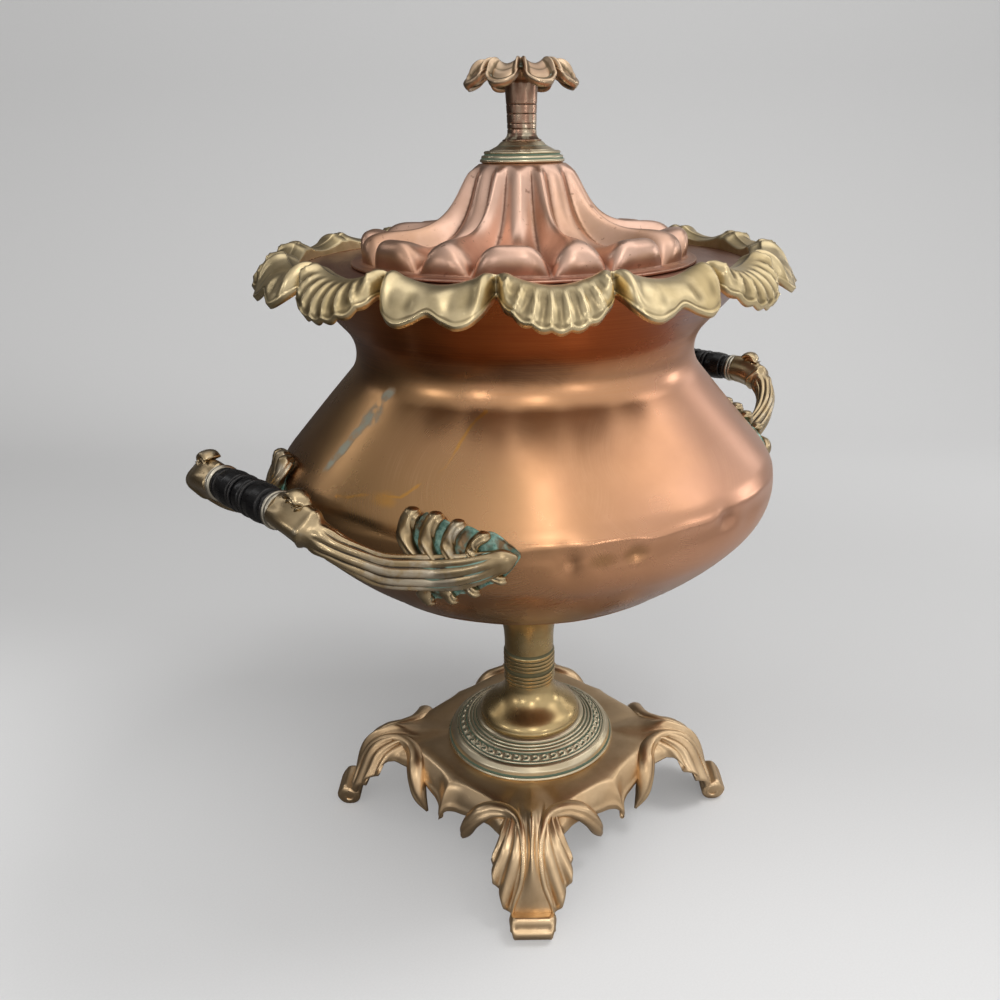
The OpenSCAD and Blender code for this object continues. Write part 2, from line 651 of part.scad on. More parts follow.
module handle_arm() color(brass) difference() {
    skin(concat([for (i = [0:arm_steps]) arm_ring(i / (arm_steps + 1))],
        [for (i = [0:leaf_steps]) leaf_ring(i / leaf_steps)]), false);
    translate([grip_x, socket_y - 1, grip_z]) rotate([-90, 0, 0])
        cylinder(r = rod_r + plug_gap, h = rod_engage + 2, $fn = 32);
    for (a = [stud_angle, tip_stud_angle]) rotate([0, 0, a]) translate([0, 0, stud_z])
        rotate([0, 90, 0]) translate([0, 0, bowl_r(stud_z) - 2])
            cylinder(r = stud_r + plug_gap, h = stud_engage + 2.5, $fn = 32);
}

module left_arm_front() mirror([0, 1, 0]) handle_arm();
module left_arm_back() handle_arm();
module right_arm_front() mirror([1, 0, 0]) mirror([0, 1, 0]) handle_arm();
module right_arm_back() mirror([1, 0, 0]) handle_arm();

rod_engage = 8;
stud_engage = 3.5;
// Turned grip with four beads and a swelling in the middle
module grip() color(ebony) translate([grip_x, -grip_l / 2, grip_z]) rotate([-90, 0, 0])
    rotate_extrude() difference() {
        union() {
            polygon([[0, 0], [grip_r - 1.6, 0], [grip_r - 1.4, 4], [grip_r - 0.6, 12],
                [grip_r - 2, 17], [grip_r - 2, grip_l - 17], [grip_r - 0.6, grip_l - 12],
                [grip_r - 1.4, grip_l - 4], [grip_r - 1.6, grip_l], [0, grip_l]]);
            for (z = [3, grip_l - 3, grip_l / 2 - 3, grip_l / 2 + 3])
                translate([grip_r - 2.2, z]) circle(r = 2.2, $fn = 32);
        }
        translate([-2 * grip_r, -grip_l]) square([2 * grip_r + rod_r + hole_gap, 3 * grip_l]);
    }

module ferrules() color(old_brass) for (y = [-grip_l / 2 - ferrule_l, grip_l / 2])
    translate([grip_x, y + seat_gap / 2, grip_z]) rotate([-90, 0, 0])
        ring(grip_r - 0.4, rod_r + hole_gap, ferrule_l - seat_gap);

module grip_rod() color(iron) {
    half = socket_y + rod_engage;
    translate([grip_x, -half, grip_z]) rotate([-90, 0, 0])
        cylinder(r = rod_r, h = 2 * half, $fn = 48);
}

module left_grip() grip();
module right_grip() mirror([1, 0, 0]) grip();
module left_ferrules() ferrules();
module right_ferrules() mirror([1, 0, 0]) ferrules();
module left_grip_rod() grip_rod();
module right_grip_rod() mirror([1, 0, 0]) grip_rod();

small_washer_t = 1;
small_nut_t = 3;
inner_z = -sheet_t - 0.5;
module handle_studs() color(brass) at_studs()
    translate([0, 0, inner_z - small_washer_t - small_nut_t - 1])
        cylinder(r = stud_r, h = stud_engage + 1 + small_nut_t + small_washer_t - inner_z,
            $fn = 32);

module handle_washers() color(brass) at_studs()
    translate([0, 0, inner_z - small_washer_t]) ring(stud_r + 2, stud_r + hole_gap,
        small_washer_t);

module handle_nuts() color(brass) at_studs()
    translate([0, 0, inner_z - small_washer_t - small_nut_t - seat_gap])
        hex_nut(7, stud_r + plug_gap, small_nut_t);

// ---- Heater ---------------------------------------------------------------

tube_z = dish_z - sqrt(pow(dish_round - sheet_t, 2) - pow(tube_flange_r, 2)) + seat_gap;
tube_top = belly_z + tube_rise;
tube_inner = tube_r - tube_wall;
module heater_tube() color(copper) translate([0, 0, tube_z]) difference() {
    union() {
        cylinder(r = tube_flange_r, h = tube_wall);
        cylinder(r = tube_r, h = tube_top - tube_z);
    }
    translate([0, 0, tube_wall]) cylinder(r = tube_inner, h = tube_top - tube_z);
}

eye_r = 8;
module heater_iron() color(iron) translate([0, 0, tube_z + tube_wall + rest_gap]) {
    r = tube_inner - iron_gap;
    edge = 3;
    cylinder(r1 = r - edge, r2 = r, h = edge);
    translate([0, 0, edge]) cylinder(r = r, h = iron_h - 2 * edge);
    translate([0, 0, iron_h - edge]) cylinder(r1 = r, r2 = r - edge, h = edge);
    translate([0, 0, iron_h - 1]) cylinder(r = 5, h = 6);
    translate([0, 0, iron_h + 4 + eye_r]) rotate([90, 0, 0]) rotate_extrude()
        translate([eye_r, 0]) circle(r = 3, $fn = 32);
}

cap_skirt = 9;
cap_t = 1.5;
module heater_cap() color(copper) translate([0, 0, tube_top + rest_gap]) difference() {
    union() {
        translate([0, 0, -cap_skirt]) cylinder(r = tube_r + rest_gap + 1.5, h = cap_skirt + cap_t);
        translate([0, 0, cap_t]) cylinder(r1 = tube_r - 6, r2 = tube_r - 12, h = 2);
    }
    translate([0, 0, -cap_skirt - 1]) cylinder(r = tube_r + rest_gap, h = cap_skirt + 1);
    translate([0, 0, -1]) cylinder(r = 2 + hole_gap, h = 10, $fn = 32);
}

module cap_knob() color(brass) translate([0, 0, tube_top + rest_gap]) {
    top = cap_t + 2 + seat_gap;
    rotate_extrude() polygon([[0, -1.5], [4.5, -1.5], [4.5, -seat_gap], [2, -seat_gap], [2, top],
        [6, top], [4, top + 4], [3.2, top + 6], [0, top + 6]]);
    translate([0, 0, top + 10]) sphere(r = 6);
}

// ---- Tap ------------------------------------------------------------------

wall_y = bowl_r(tap_z);
tap_reach = wall_y + tap_out;
tap_neck = 8.5;
tap_collar_t = 3;
boss_r = shank_r + 8;
tap_rim = 3;
boss_out = tap_out - barrel_r - tap_neck - tap_collar_t - tap_rim - seat_gap;
boss_in = 2.5 * boss_r;
// Turned boss that follows the bowl behind and takes the shank
module tap_escutcheon() color(brass) difference() {
    translate([0, -wall_y + boss_in, tap_z]) rotate([90, 0, 0]) rotate_extrude() polygon([
        [0, 0], [boss_r, 0], [boss_r, boss_in + boss_out - 6], [boss_r - 3, boss_in + boss_out],
        [boss_r - 3.5, boss_in + boss_out + tap_rim], [0, boss_in + boss_out + tap_rim]]);
    bowl_solid(-gasket_t - seat_gap);
    tap_hole();
}

module tap_hole() translate([0, 0, tap_z]) rotate([90, 0, 0])
    cylinder(r = shank_r + hole_gap, h = 2 * belly_r);

gasket_t = 1;
module tap_gasket() color(ebony) difference() {
    translate([0, -wall_y + boss_in, tap_z]) rotate([90, 0, 0]) cylinder(r = boss_r - 0.5,
        h = boss_in + boss_out);
    bowl_solid(-seat_gap);
    difference() {
        cylinder(r = 3 * belly_r, h = rim_z);
        bowl_solid(-gasket_t);
    }
    tap_hole();
}

// Saddle inside the bowl that gives the back nut a square seat
saddle_r = shank_r + 3.5;
saddle_in = 24;
module tap_saddle() color(brass) intersection() {
    translate([0, -wall_y + saddle_in, tap_z]) rotate([90, 0, 0]) difference() {
        cylinder(r = saddle_r, h = saddle_in + boss_out);
        translate([0, 0, -1]) cylinder(r = shank_r + hole_gap, h = saddle_in + boss_out + 2);
    }
    bowl_solid(sheet_t + seat_gap);
}

back_nut_t = 5;
plug_top_r = 8.2;
plug_low_r = 6.8;
collar_y = -wall_y - boss_out - tap_rim - seat_gap;
shank_in = wall_y - saddle_in - back_nut_t - 3;
spout_y = -tap_reach - spout_l;
spout_r = water_r + 2.5;
bend_r = 12;
spout_drop = 16;
// Turned tap: shank, conical barrel, spout that turns down
module tap_body() color(brass) translate([0, 0, tap_z]) difference() {
    union() {
        rotate([90, 0, 0]) translate([0, 0, shank_in]) cylinder(r = shank_r,
            h = tap_reach - shank_in);
        translate([0, collar_y, 0]) rotate([90, 0, 0]) cylinder(r = shank_r + 3,
            h = tap_collar_t);
        translate([0, -tap_reach, -barrel_h / 2]) cylinder(r1 = barrel_r - 1.5, r2 = barrel_r,
            h = barrel_h);
        rotate([90, 0, 0]) translate([0, 0, tap_reach]) cylinder(r = spout_r,
            h = spout_l - bend_r);
        translate([0, spout_y + bend_r, -bend_r]) rotate([0, 0, 180]) rotate([90, 0, 90])
            rotate_extrude(angle = 90) translate([bend_r, 0]) circle(r = spout_r, $fn = 48);
        translate([0, spout_y, -bend_r - spout_drop]) cylinder(r = spout_r, h = spout_drop);
        translate([0, spout_y, -bend_r - spout_drop]) cylinder(r = spout_r + 1.2, h = 4);
    }
    translate([0, -tap_reach, -barrel_h / 2 - eps]) cylinder(r1 = plug_low_r + plug_gap,
        r2 = plug_top_r + plug_gap, h = barrel_h + 2 * eps);
    rotate([90, 0, 0]) translate([0, 0, shank_in - 1]) cylinder(r = water_r,
        h = tap_reach - shank_in + 1, $fn = 48);
    rotate([90, 0, 0]) translate([0, 0, tap_reach]) cylinder(r = water_r,
        h = spout_l - bend_r, $fn = 48);
    translate([0, spout_y + bend_r, -bend_r]) rotate([0, 0, 180]) rotate([90, 0, 90])
        rotate_extrude(angle = 90) translate([bend_r, 0]) circle(r = water_r, $fn = 48);
    translate([0, spout_y, -bend_r - spout_drop - 1]) cylinder(r = water_r, h = spout_drop + 1,
        $fn = 48);
}

module tap_back_nut() color(brass)
    translate([0, -wall_y + saddle_in + back_nut_t + seat_gap, tap_z]) rotate([90, 0, 0])
        hex_nut(2 * shank_r + 8, shank_r + plug_gap, back_nut_t);

key_r = 3.6;
key_h = 7;
head_t = 2.5;
screw_r = 3;
// Plug with its cross hole, shut at rest
module tap_plug() color(brass) translate([0, -tap_reach, tap_z]) difference() {
    union() {
        translate([0, 0, -barrel_h / 2]) cylinder(r1 = plug_low_r, r2 = plug_top_r, h = barrel_h);
        translate([0, 0, barrel_h / 2 - eps]) cylinder(r = plug_top_r, h = 1);
        translate([0, 0, barrel_h / 2 + rest_gap]) cylinder(r = plug_top_r + 3, h = head_t);
        translate([0, 0, barrel_h / 2 + head_t]) cylinder(r = key_r, h = key_h);
        translate([0, 0, -barrel_h / 2 - 9]) cylinder(r = screw_r, h = 9 + eps, $fn = 48);
    }
    rotate([0, 90, 0]) cylinder(r = water_r - 0.5, h = 4 * barrel_r, center = true, $fn = 48);
}

lever_z = tap_z + barrel_h / 2 + rest_gap + head_t + seat_gap;
// Key: hub on the plug's head, arm that reaches out sideways when shut
module tap_lever() color(brass) translate([0, -tap_reach, lever_z]) difference() {
    union() {
        cylinder(r = 8, h = key_h);
        translate([0, -2.5, 1]) cube([lever_l - 6, 5, 4]);
        translate([lever_l - 6, 0, 0]) cylinder(r = 4.5, h = 6, $fn = 48);
        translate([lever_l - 6, 0, 5.9]) cylinder(r = 2, h = 8, $fn = 32);
    }
    translate([0, 0, -1]) cylinder(r = key_r + plug_gap, h = key_h + 3);
}

module lever_knob() color(ebony) translate([lever_l - 6, -tap_reach, lever_z + 6 + seat_gap])
    difference() {
        union() {
            rotate_extrude() polygon([[0, 0], [4, 0], [4.4, 2], [3.6, 3], [0, 3]]);
            translate([0, 0, 7.5]) sphere(r = 6.4);
        }
        translate([0, 0, -1]) cylinder(r = 2 + plug_gap, h = 9.2, $fn = 32);
    }

module plug_washer() color(brass) translate([0, -tap_reach, tap_z - barrel_h / 2 - 2.2])
    ring(9, screw_r + plug_gap, 2);

module plug_nut() color(brass) translate([0, -tap_reach, tap_z - barrel_h / 2 - 2.3 - 5])
    hex_nut(11, screw_r + plug_gap, 5);

base_casting();
base_collar();
pedestal_bell();
stem_sleeve();
bowl_boss();
tie_rod();
tie_washer();
tie_nut();
bowl_bottom();
bowl_lower();
bowl_upper();
rim_plate();
rim_frill();
lid_shell();
lid_bezel();
lid_collar();
finial_stem();
finial_flower();
finial_rod();
finial_washer();
finial_nut();
left_arm_front();
left_arm_back();
right_arm_front();
right_arm_back();
left_grip();
right_grip();
left_ferrules();
right_ferrules();
left_grip_rod();
right_grip_rod();
handle_studs();
handle_washers();
handle_nuts();
heater_tube();
heater_iron();
heater_cap();
cap_knob();
tap_escutcheon();
tap_gasket();
tap_body();
tap_saddle();
tap_back_nut();
tap_plug();
tap_lever();
lever_knob();
plug_washer();
plug_nut();
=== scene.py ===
import bpy
import numpy as np
from mathutils import Matrix, Vector


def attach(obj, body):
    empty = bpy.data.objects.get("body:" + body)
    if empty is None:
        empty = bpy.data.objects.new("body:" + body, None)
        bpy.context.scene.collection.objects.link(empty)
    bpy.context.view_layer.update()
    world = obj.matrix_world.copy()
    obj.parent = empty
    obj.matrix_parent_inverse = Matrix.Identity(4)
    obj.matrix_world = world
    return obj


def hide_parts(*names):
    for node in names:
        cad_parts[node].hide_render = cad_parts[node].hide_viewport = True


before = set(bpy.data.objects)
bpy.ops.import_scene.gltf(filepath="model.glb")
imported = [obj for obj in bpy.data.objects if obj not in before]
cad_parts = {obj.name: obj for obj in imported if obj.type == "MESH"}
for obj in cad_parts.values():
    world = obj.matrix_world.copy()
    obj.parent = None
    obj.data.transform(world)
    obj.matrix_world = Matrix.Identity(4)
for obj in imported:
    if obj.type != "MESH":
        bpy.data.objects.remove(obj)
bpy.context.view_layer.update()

# Footed table urn of copper and brass. Shapes are worked out in millimetres, with the origin on the
# axis where the toes stand, and every mesh is scaled to metres as it is made.
MM = 0.001


# ---- Camera ------------------------------------------------------------------------------------
# Stands a little above the rim, between the left handle and the far side, and looks down at the
# bowl. The urn stands a touch right of the middle.
eye_reach, eye_height, eye_heading = 485.2, 396.1, 45.0
look_down, lean, lens, aside = 21.6, -0.8, 32.92, -0.027

camera = bpy.data.objects.new("camera", bpy.data.cameras.new("camera"))
bpy.context.scene.collection.objects.link(camera)
heading = np.radians(eye_heading)
eye = Vector((eye_reach * np.cos(heading), eye_reach * np.sin(heading), eye_height)) * MM
camera.matrix_world = (Matrix.Translation(eye) @ Matrix.Rotation(heading + np.pi / 2, 4, "Z")
                       @ Matrix.Rotation(np.radians(90 - look_down), 4, "X")
                       @ Matrix.Rotation(np.radians(lean), 4, "Z"))
camera.data.sensor_width = 36
camera.data.lens = lens
camera.data.shift_x = aside
camera.data.clip_start = 0.01
bpy.context.scene.camera = camera
bpy.context.scene.view_settings.view_transform = "Standard"


# ---- Floor and light ---------------------------------------------------------------------------
# A pale paper sweep: flat under the urn, bent up behind it. Large soft lamps stand on both sides
# and above, and a dim room shows in the metal between them.
def add(tree, kind, values=(), **settings):
    """Adds a node of that kind, sets its settings, and fills its inputs with constants or with
    the sockets of other nodes."""
    node = tree.nodes.new(kind)
    for key, value in settings.items():
        setattr(node, key, value)
    for key, value in dict(values).items():
        if isinstance(value, bpy.types.NodeSocket):
            tree.links.new(value, node.inputs[key])
        else:
            node.inputs[key].default_value = value
    return node


def mixed(share, first, second):
    """Colour between the first and the second: share 0 is the first, 1 the second."""
    node = add(share.id_data, "ShaderNodeMix", {0: share, 6: first, 7: second}, data_type="RGBA",
               clamp_factor=True)
    return node.outputs[2]


def ranged(value, low, high, to_low=0.0, to_high=1.0, kind="LINEAR"):
    """Value moved from the range low to high into the range to_low to to_high, and kept in it."""
    node = add(value.id_data, "ShaderNodeMapRange", {"Value": value, "From Min": low,
               "From Max": high, "To Min": to_low, "To Max": to_high}, clamp=True,
               interpolation_type=kind)
    return node.outputs[0]


def faded(value, low, high, to_low=0.0, to_high=1.0):
    """The same, with soft ends."""
    return ranged(value, low, high, to_low, to_high, "SMOOTHSTEP")


def tree_of(*values):
    """Node tree of the first socket among the values."""
    return next(v.id_data for v in values if isinstance(v, bpy.types.NodeSocket))


def sums(kind, first, second, keep=False):
    """One step of arithmetic on two values. keep holds the result between 0 and 1."""
    node = add(tree_of(first, second), "ShaderNodeMath", {0: first, 1: second}, operation=kind,
               use_clamp=keep)
    return node.outputs[0]


def plus(first, second):
    """Sum of two values."""
    return sums("ADD", first, second)


def less(first, second, keep=False):
    """First value less the second."""
    return sums("SUBTRACT", first, second, keep)


def times(first, second, keep=False):
    """Product of two values."""
    return sums("MULTIPLY", first, second, keep)


def vector(kind, *values, scale=None):
    """One step of arithmetic on vectors. A length, a distance or a dot product is a number."""
    inputs = dict(enumerate(values)) | ({} if scale is None else {3: scale})
    node = add(tree_of(*values, scale), "ShaderNodeVectorMath", inputs, operation=kind)
    return node.outputs["Value" if kind in ("LENGTH", "DISTANCE", "DOT_PRODUCT") else "Vector"]


def noise(where, scale, detail, rough=0.5):
    """Cloudy noise about 0.5 at those coordinates."""
    return add(where.id_data, "ShaderNodeTexNoise", {"Vector": where, "Scale": scale,
               "Detail": detail, "Roughness": rough}).outputs["Fac"]


def here(tree):
    """Coordinates of the model, in metres."""
    return add(tree, "ShaderNodeTexCoord").outputs["Object"]


def material(name):
    """A new material with an empty node tree."""
    made = bpy.data.materials.new(name)
    made.use_nodes = True
    made.node_tree.nodes.clear()
    return made, made.node_tree


def put(name, points, faces):
    """A smooth mesh in the scene, from points in millimetres."""
    mesh = bpy.data.meshes.new(name)
    mesh.from_pydata((np.asarray(points, float) * MM).tolist(), [], faces)
    mesh.polygons.foreach_set("use_smooth", np.ones(len(mesh.polygons), bool))
    piece = bpy.data.objects.new(name, mesh)
    bpy.context.scene.collection.objects.link(piece)
    return piece


back = -np.array([np.cos(heading), np.sin(heading), 0])
side = np.array([back[1], -back[0], 0])

paper, tree = material("pale_paper")
place, ray = here(tree), add(tree, "ShaderNodeLightPath").outputs
away = vector("DOT_PRODUCT", place, (back + 0.3 * side).tolist())
over = vector("DOT_PRODUCT", place, (side - 0.1 * back).tolist())
tone = mixed(ranged(noise(place, 900.0, 3.0), 0.3, 0.7), (0.375, 0.375, 0.375, 1),
             (0.395, 0.395, 0.395, 1))
# Painted reflection: in the metal the paper shows dark on the left and pale on the right.
painted_reflection = mixed(faded(over, -0.35, 0.35), (0.08, 0.075, 0.07, 1), (0.44, 0.43, 0.42, 1))
# Painted light: for the camera the paper glows, most in front of the urn, less behind it.
painted_glow = plus(faded(away, -0.14, 0.16, 0.31, 0.12), faded(away, 0.4, 0.8, 0.0, 0.07))
shader = add(tree, "ShaderNodeBsdfPrincipled", {
    "Base Color": mixed(ray["Is Glossy Ray"], tone, painted_reflection), "Roughness": 0.9,
    "Specular IOR Level": 0.15, "Emission Color": (1, 1, 1, 1),
    "Emission Strength": times(painted_glow, ray["Is Camera Ray"])})
add(tree, "ShaderNodeOutputMaterial", {"Surface": shader.outputs[0]})

sweep_near, sweep_far, sweep_bend, sweep_top, sweep_half = 1400, 700, 500, 1500, 2200
turn = np.linspace(0, np.pi / 2, 24)
run = np.concatenate([[-sweep_near], np.linspace(-400, sweep_far, 12),
                      sweep_far + sweep_bend * np.sin(turn[1:]), [sweep_far + sweep_bend]])
rise = np.concatenate([np.zeros(13), sweep_bend * (1 - np.cos(turn[1:])), [sweep_top]])
edge = [np.column_stack([run * back[0] + way * sweep_half * side[0],
                         run * back[1] + way * sweep_half * side[1], rise]) for way in (-1, 1)]
count = len(run)
sweep = put("paper_sweep", np.concatenate(edge),
            [(i, i + count, i + count + 1, i + 1) for i in range(count - 1)])
sweep.data.materials.append(paper)


def lamp(name, where, size, watts, tint=(1, 1, 1)):
    """A soft rectangular lamp that faces the bowl's middle. Its place is given as millimetres to
    the right of the camera's line, towards the camera and up."""
    right, near, up = where
    spot = Vector((side[0] * right - back[0] * near, side[1] * right - back[1] * near, up)) * MM
    data = bpy.data.lights.new(name, "AREA")
    data.shape = "RECTANGLE"
    data.size, data.size_y = size[0] * MM, size[1] * MM
    data.energy = watts
    data.color = tint
    made = bpy.data.objects.new(name, data)
    made.location = spot
    made.rotation_euler = (spot - Vector((0, 0, 0.24))).to_track_quat("Z", "Y").to_euler()
    bpy.context.scene.collection.objects.link(made)
    return made


lamp("skylight", (110, 740, 1060), (170, 720), 0.85, (1.0, 0.98, 0.95))
lamp("window_right", (830, 0, 900), (360, 420), 0.52, (1.0, 0.99, 0.98))
lamp("window_behind_right", (800, -560, 530), (150, 380), 0.3)
lamp("window_behind_left", (-860, -280, 800), (120, 420), 0.35)
lamp("pane_left", (-820, 520, 540), (110, 150), 0.35)
lamp("pane_middle", (-440, 860, 540), (110, 150), 0.35)
lamp("pane_front", (120, 880, 700), (110, 150), 0.35)
lamp("pane_low", (560, 880, 360), (110, 110), 0.25)
lamp("pane_right", (950, -300, 400), (110, 150), 0.35)
lamp("ceiling", (300, -100, 1600), (1500, 1500), 5.0)
lamp("shade_side", (560, 60, 1350), (420, 420), 9.0).visible_glossy = False

world = bpy.data.worlds.new("room")
bpy.context.scene.world = world
world.use_nodes = True
tree = world.node_tree
tree.nodes.clear()
sky = add(tree, "ShaderNodeTexCoord").outputs["Generated"]
bright_side = 0.56 * side - 0.62 * back + np.array([0, 0, 0.55])
lit = vector("DOT_PRODUCT", sky, bright_side.tolist())
room = mixed(ranged(lit, -0.6, 0.95), (0.04, 0.036, 0.034, 1), (0.92, 0.91, 0.90, 1))
glow = add(tree, "ShaderNodeBackground", {"Color": room, "Strength": 1.0})
add(tree, "ShaderNodeOutputWorld", {"Surface": glow.outputs[0]})


# ---- Stand -------------------------------------------------------------------------------------
# One brass casting: a plate with a hanging corner between each two legs, four fluted legs on rolled
# toes, and a curled leaf at each side of a leg. Cast in sand, filed, and toned by long polishing.
def through(points, knots, at):
    """Smooth curve that passes the points at the knots: a cubic between each two points, whose
    slope at a point follows the points beside it."""
    points, knots = np.asarray(points, float), np.asarray(knots, float)
    slope = np.gradient(points, knots, axis=0)
    at = np.asarray(at, float)
    first = np.clip(np.searchsorted(knots, at, "right") - 1, 0, len(knots) - 2)
    wide = at.shape + (1,) * (points.ndim - 1)
    step = (knots[first + 1] - knots[first]).reshape(wide)
    share = (at.reshape(wide) - knots[first].reshape(wide)) / step
    rest = 1 - share
    return ((1 + 2 * share) * rest ** 2 * points[first] + share * rest ** 2 * step * slope[first]
            + share ** 2 * (3 - 2 * share) * points[first + 1]
            - share ** 2 * rest * step * slope[first + 1])


def eased(value, low=0.0, high=1.0):
    """Runs smoothly from 0 below low to 1 above high."""
    share = np.clip((np.asarray(value, float) - low) / (high - low), 0, 1)
    return share * share * (3 - 2 * share)


def hump(value, at, wide):
    """Rounded bump, 1 at that value and near 0 two widths away: exp(-((value - at) / wide)^2)."""
    return np.exp(-((value - at) / wide) ** 2)


def full_turn(count):
    """Evenly spaced angles round a circle."""
    return np.linspace(0, 2 * np.pi, count, endpoint=False)


def polar(r, turn, z):
    """Points at those radii, turns about the axis and heights."""
    return np.stack(np.broadcast_arrays(r * np.cos(turn), r * np.sin(turn), z), axis=-1)


def unit(arrows):
    """The arrows at a length of 1."""
    return arrows / np.maximum(np.linalg.norm(arrows, axis=-1, keepdims=True), 1e-9)


def outward(grid):
    """Unit normals of a grid of points: the cross product of the steps along its two sides."""
    return unit(np.cross(np.gradient(grid, axis=0), np.gradient(grid, axis=1)))


def bend_of(mesh, passes):
    """How the surface bends at each point, in 1/mm: above 0 in a hollow, below 0 on a ridge. It is
    the rise of each neighbour over the tangent plane, divided by its distance squared, averaged
    over the neighbours and evened out by a few passes."""
    count = len(mesh.vertices)
    places, normals = np.empty(count * 3), np.empty(count * 3)
    mesh.vertices.foreach_get("co", places)
    mesh.vertices.foreach_get("normal", normals)
    places, normals = places.reshape(-1, 3) / MM, normals.reshape(-1, 3)
    pairs = np.empty(len(mesh.edges) * 2, int)
    mesh.edges.foreach_get("vertices", pairs)
    a, b = pairs[0::2], pairs[1::2]
    step = places[b] - places[a]
    span = np.maximum((step ** 2).sum(1), 1e-6)
    ends = np.concatenate([a, b])
    rise = np.concatenate([(step * normals[a]).sum(1) / span, -(step * normals[b]).sum(1) / span])
    near = np.maximum(np.bincount(ends, minlength=count), 1)
    bend = 2 * np.bincount(ends, rise, count) / near
    for _ in range(passes):
        bend = 0.5 * bend + 0.5 * np.bincount(ends, np.concatenate([bend[b], bend[a]]),
                                              count) / near
    return bend


def skin(name, grids, loop=(True, True), passes=2):
    """One smooth mesh over one or more grids of points in millimetres. loop says for each side of
    a grid whether its last row joins its first. Rows that don't join are closed by a fan of faces
    round their middle, and each grid is turned so that its faces point outwards."""
    points, faces, start = [], [], 0
    for grid in grids:
        rows, columns = grid.shape[:2]
        number = np.arange(rows * columns).reshape(rows, columns)
        if loop[0]:
            number = np.concatenate([number, number[:1]])
        if loop[1]:
            number = np.concatenate([number, number[:, :1]], axis=1)
        quads = np.stack([number[:-1, :-1], number[1:, :-1], number[1:, 1:], number[:-1, 1:]],
                         axis=-1).reshape(-1, 4)
        made, fans = grid.reshape(-1, 3), []
        if not loop[0]:
            made = np.concatenate([made, [grid[0].mean(0), grid[-1].mean(0)]])
            low, high = number[0], number[-1]
            tip = np.full(len(low) - 1, rows * columns)
            fans = [np.column_stack([tip, low[:-1], low[1:]]),
                    np.column_stack([tip + 1, high[1:], high[:-1]])]
        corners = made[np.concatenate([quads[:, [0, 1, 2]], quads[:, [0, 2, 3]]] + fans)]
        if np.einsum("ij,ij->", corners[:, 0], np.cross(corners[:, 1], corners[:, 2])) < 0:
            quads, fans = quads[:, ::-1], [fan[:, ::-1] for fan in fans]
        points.append(made)
        for group in [quads] + fans:
            faces += (group + start).tolist()
        start += len(made)
    piece = put(name, np.concatenate(points), faces)
    bend = piece.data.attributes.new("bend", "FLOAT", "POINT")
    bend.data.foreach_set("value", bend_of(piece.data, passes))
    return piece


def fit(piece, body, slot, paint, *replaced):
    """Paints a finished piece, lets it ride on its body and hides the CAD nodes that it shows."""
    piece.data.materials.append(paint)
    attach(piece, body)
    if replaced:
        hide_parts(*replaced)


URN = "stand_and_bowl"


def worn_metal_group():
    """Node group for old polished metal. Takes the colours of bare, aged and fouled metal, and
    gives colour, roughness and height. Ridges, read from the bend of the surface, are rubbed bare,
    hollows hold dirt, and clouds of tarnish cover the rest."""
    group = bpy.data.node_groups.new("worn_metal", "ShaderNodeTree")
    face = group.interface
    for name, kind, value in (
            ("Bare", "Color", (0.8, 0.6, 0.4, 1)), ("Aged", "Color", (0.5, 0.35, 0.2, 1)),
            ("Fouled", "Color", (0.1, 0.08, 0.05, 1)), ("Ridge Wear", "Float", 1.0),
            ("Hollow Dirt", "Float", 1.0), ("Clouds", "Float", 0.5), ("Cloud Size", "Float", 30.0),
            ("Gloss", "Float", 0.3), ("Pits", "Float", 0.3)):
        face.new_socket(name=name, in_out="INPUT",
                        socket_type="NodeSocket" + kind).default_value = value
    for name, kind in (("Color", "Color"), ("Roughness", "Float"), ("Height", "Float"),
                       ("Hollow", "Float")):
        face.new_socket(name=name, in_out="OUTPUT", socket_type="NodeSocket" + kind)
    given = group.nodes.new("NodeGroupInput").outputs
    place = here(group)
    bend = add(group, "ShaderNodeAttribute", attribute_name="bend").outputs["Fac"]
    cloud = noise(place, given["Cloud Size"], 5.0, 0.62)
    grit = noise(place, 520.0, 4.0, 0.7)
    uneven = times(less(grit, 0.5), 0.22)
    ridge = faded(plus(times(bend, -1.0), uneven), 0.04, 0.34)
    hollow = faded(plus(bend, uneven), 0.05, 0.36)
    worn = times(ridge, given["Ridge Wear"], keep=True)
    dirty = times(hollow, given["Hollow Dirt"], keep=True)
    misted = times(ranged(cloud, 0.42, 0.62), given["Clouds"], keep=True)
    base = mixed(misted, given["Bare"], given["Aged"])
    base = mixed(times(worn, 0.8), base, given["Bare"])
    base = mixed(dirty, base, given["Fouled"])
    rough = plus(plus(given["Gloss"], times(misted, 0.12)), times(dirty, 0.35))
    rough = less(rough, times(worn, 0.05))
    pit = times(ranged(grit, 0.62, 0.72), given["Pits"])
    height = plus(times(pit, -1.0), times(cloud, 0.6))
    add(group, "NodeGroupOutput", {"Color": base, "Roughness": rough, "Height": height,
                                   "Hollow": hollow})
    return group


worn_metal = worn_metal_group()


def tint(look, share, *colour):
    """Lays a colour over what the surface has so far."""
    look["Color"] = mixed(share, look["Color"], (*colour, 1))


def raised(look, name, share):
    """Adds to the surface's roughness or height."""
    look[name] = plus(look[name], share)


def surface(tree, colour, rough, height, deep, **more):
    """Ends a material: a plain shader with a bumped surface. deep is the bump in millimetres."""
    lift = add(tree, "ShaderNodeBump", {"Strength": 1.0, "Distance": deep * MM, "Height": height})
    shader = add(tree, "ShaderNodeBsdfPrincipled", {"Base Color": colour, "Roughness": rough,
                 "Normal": lift.outputs[0], **more})
    add(tree, "ShaderNodeOutputMaterial", {"Surface": shader.outputs[0]})


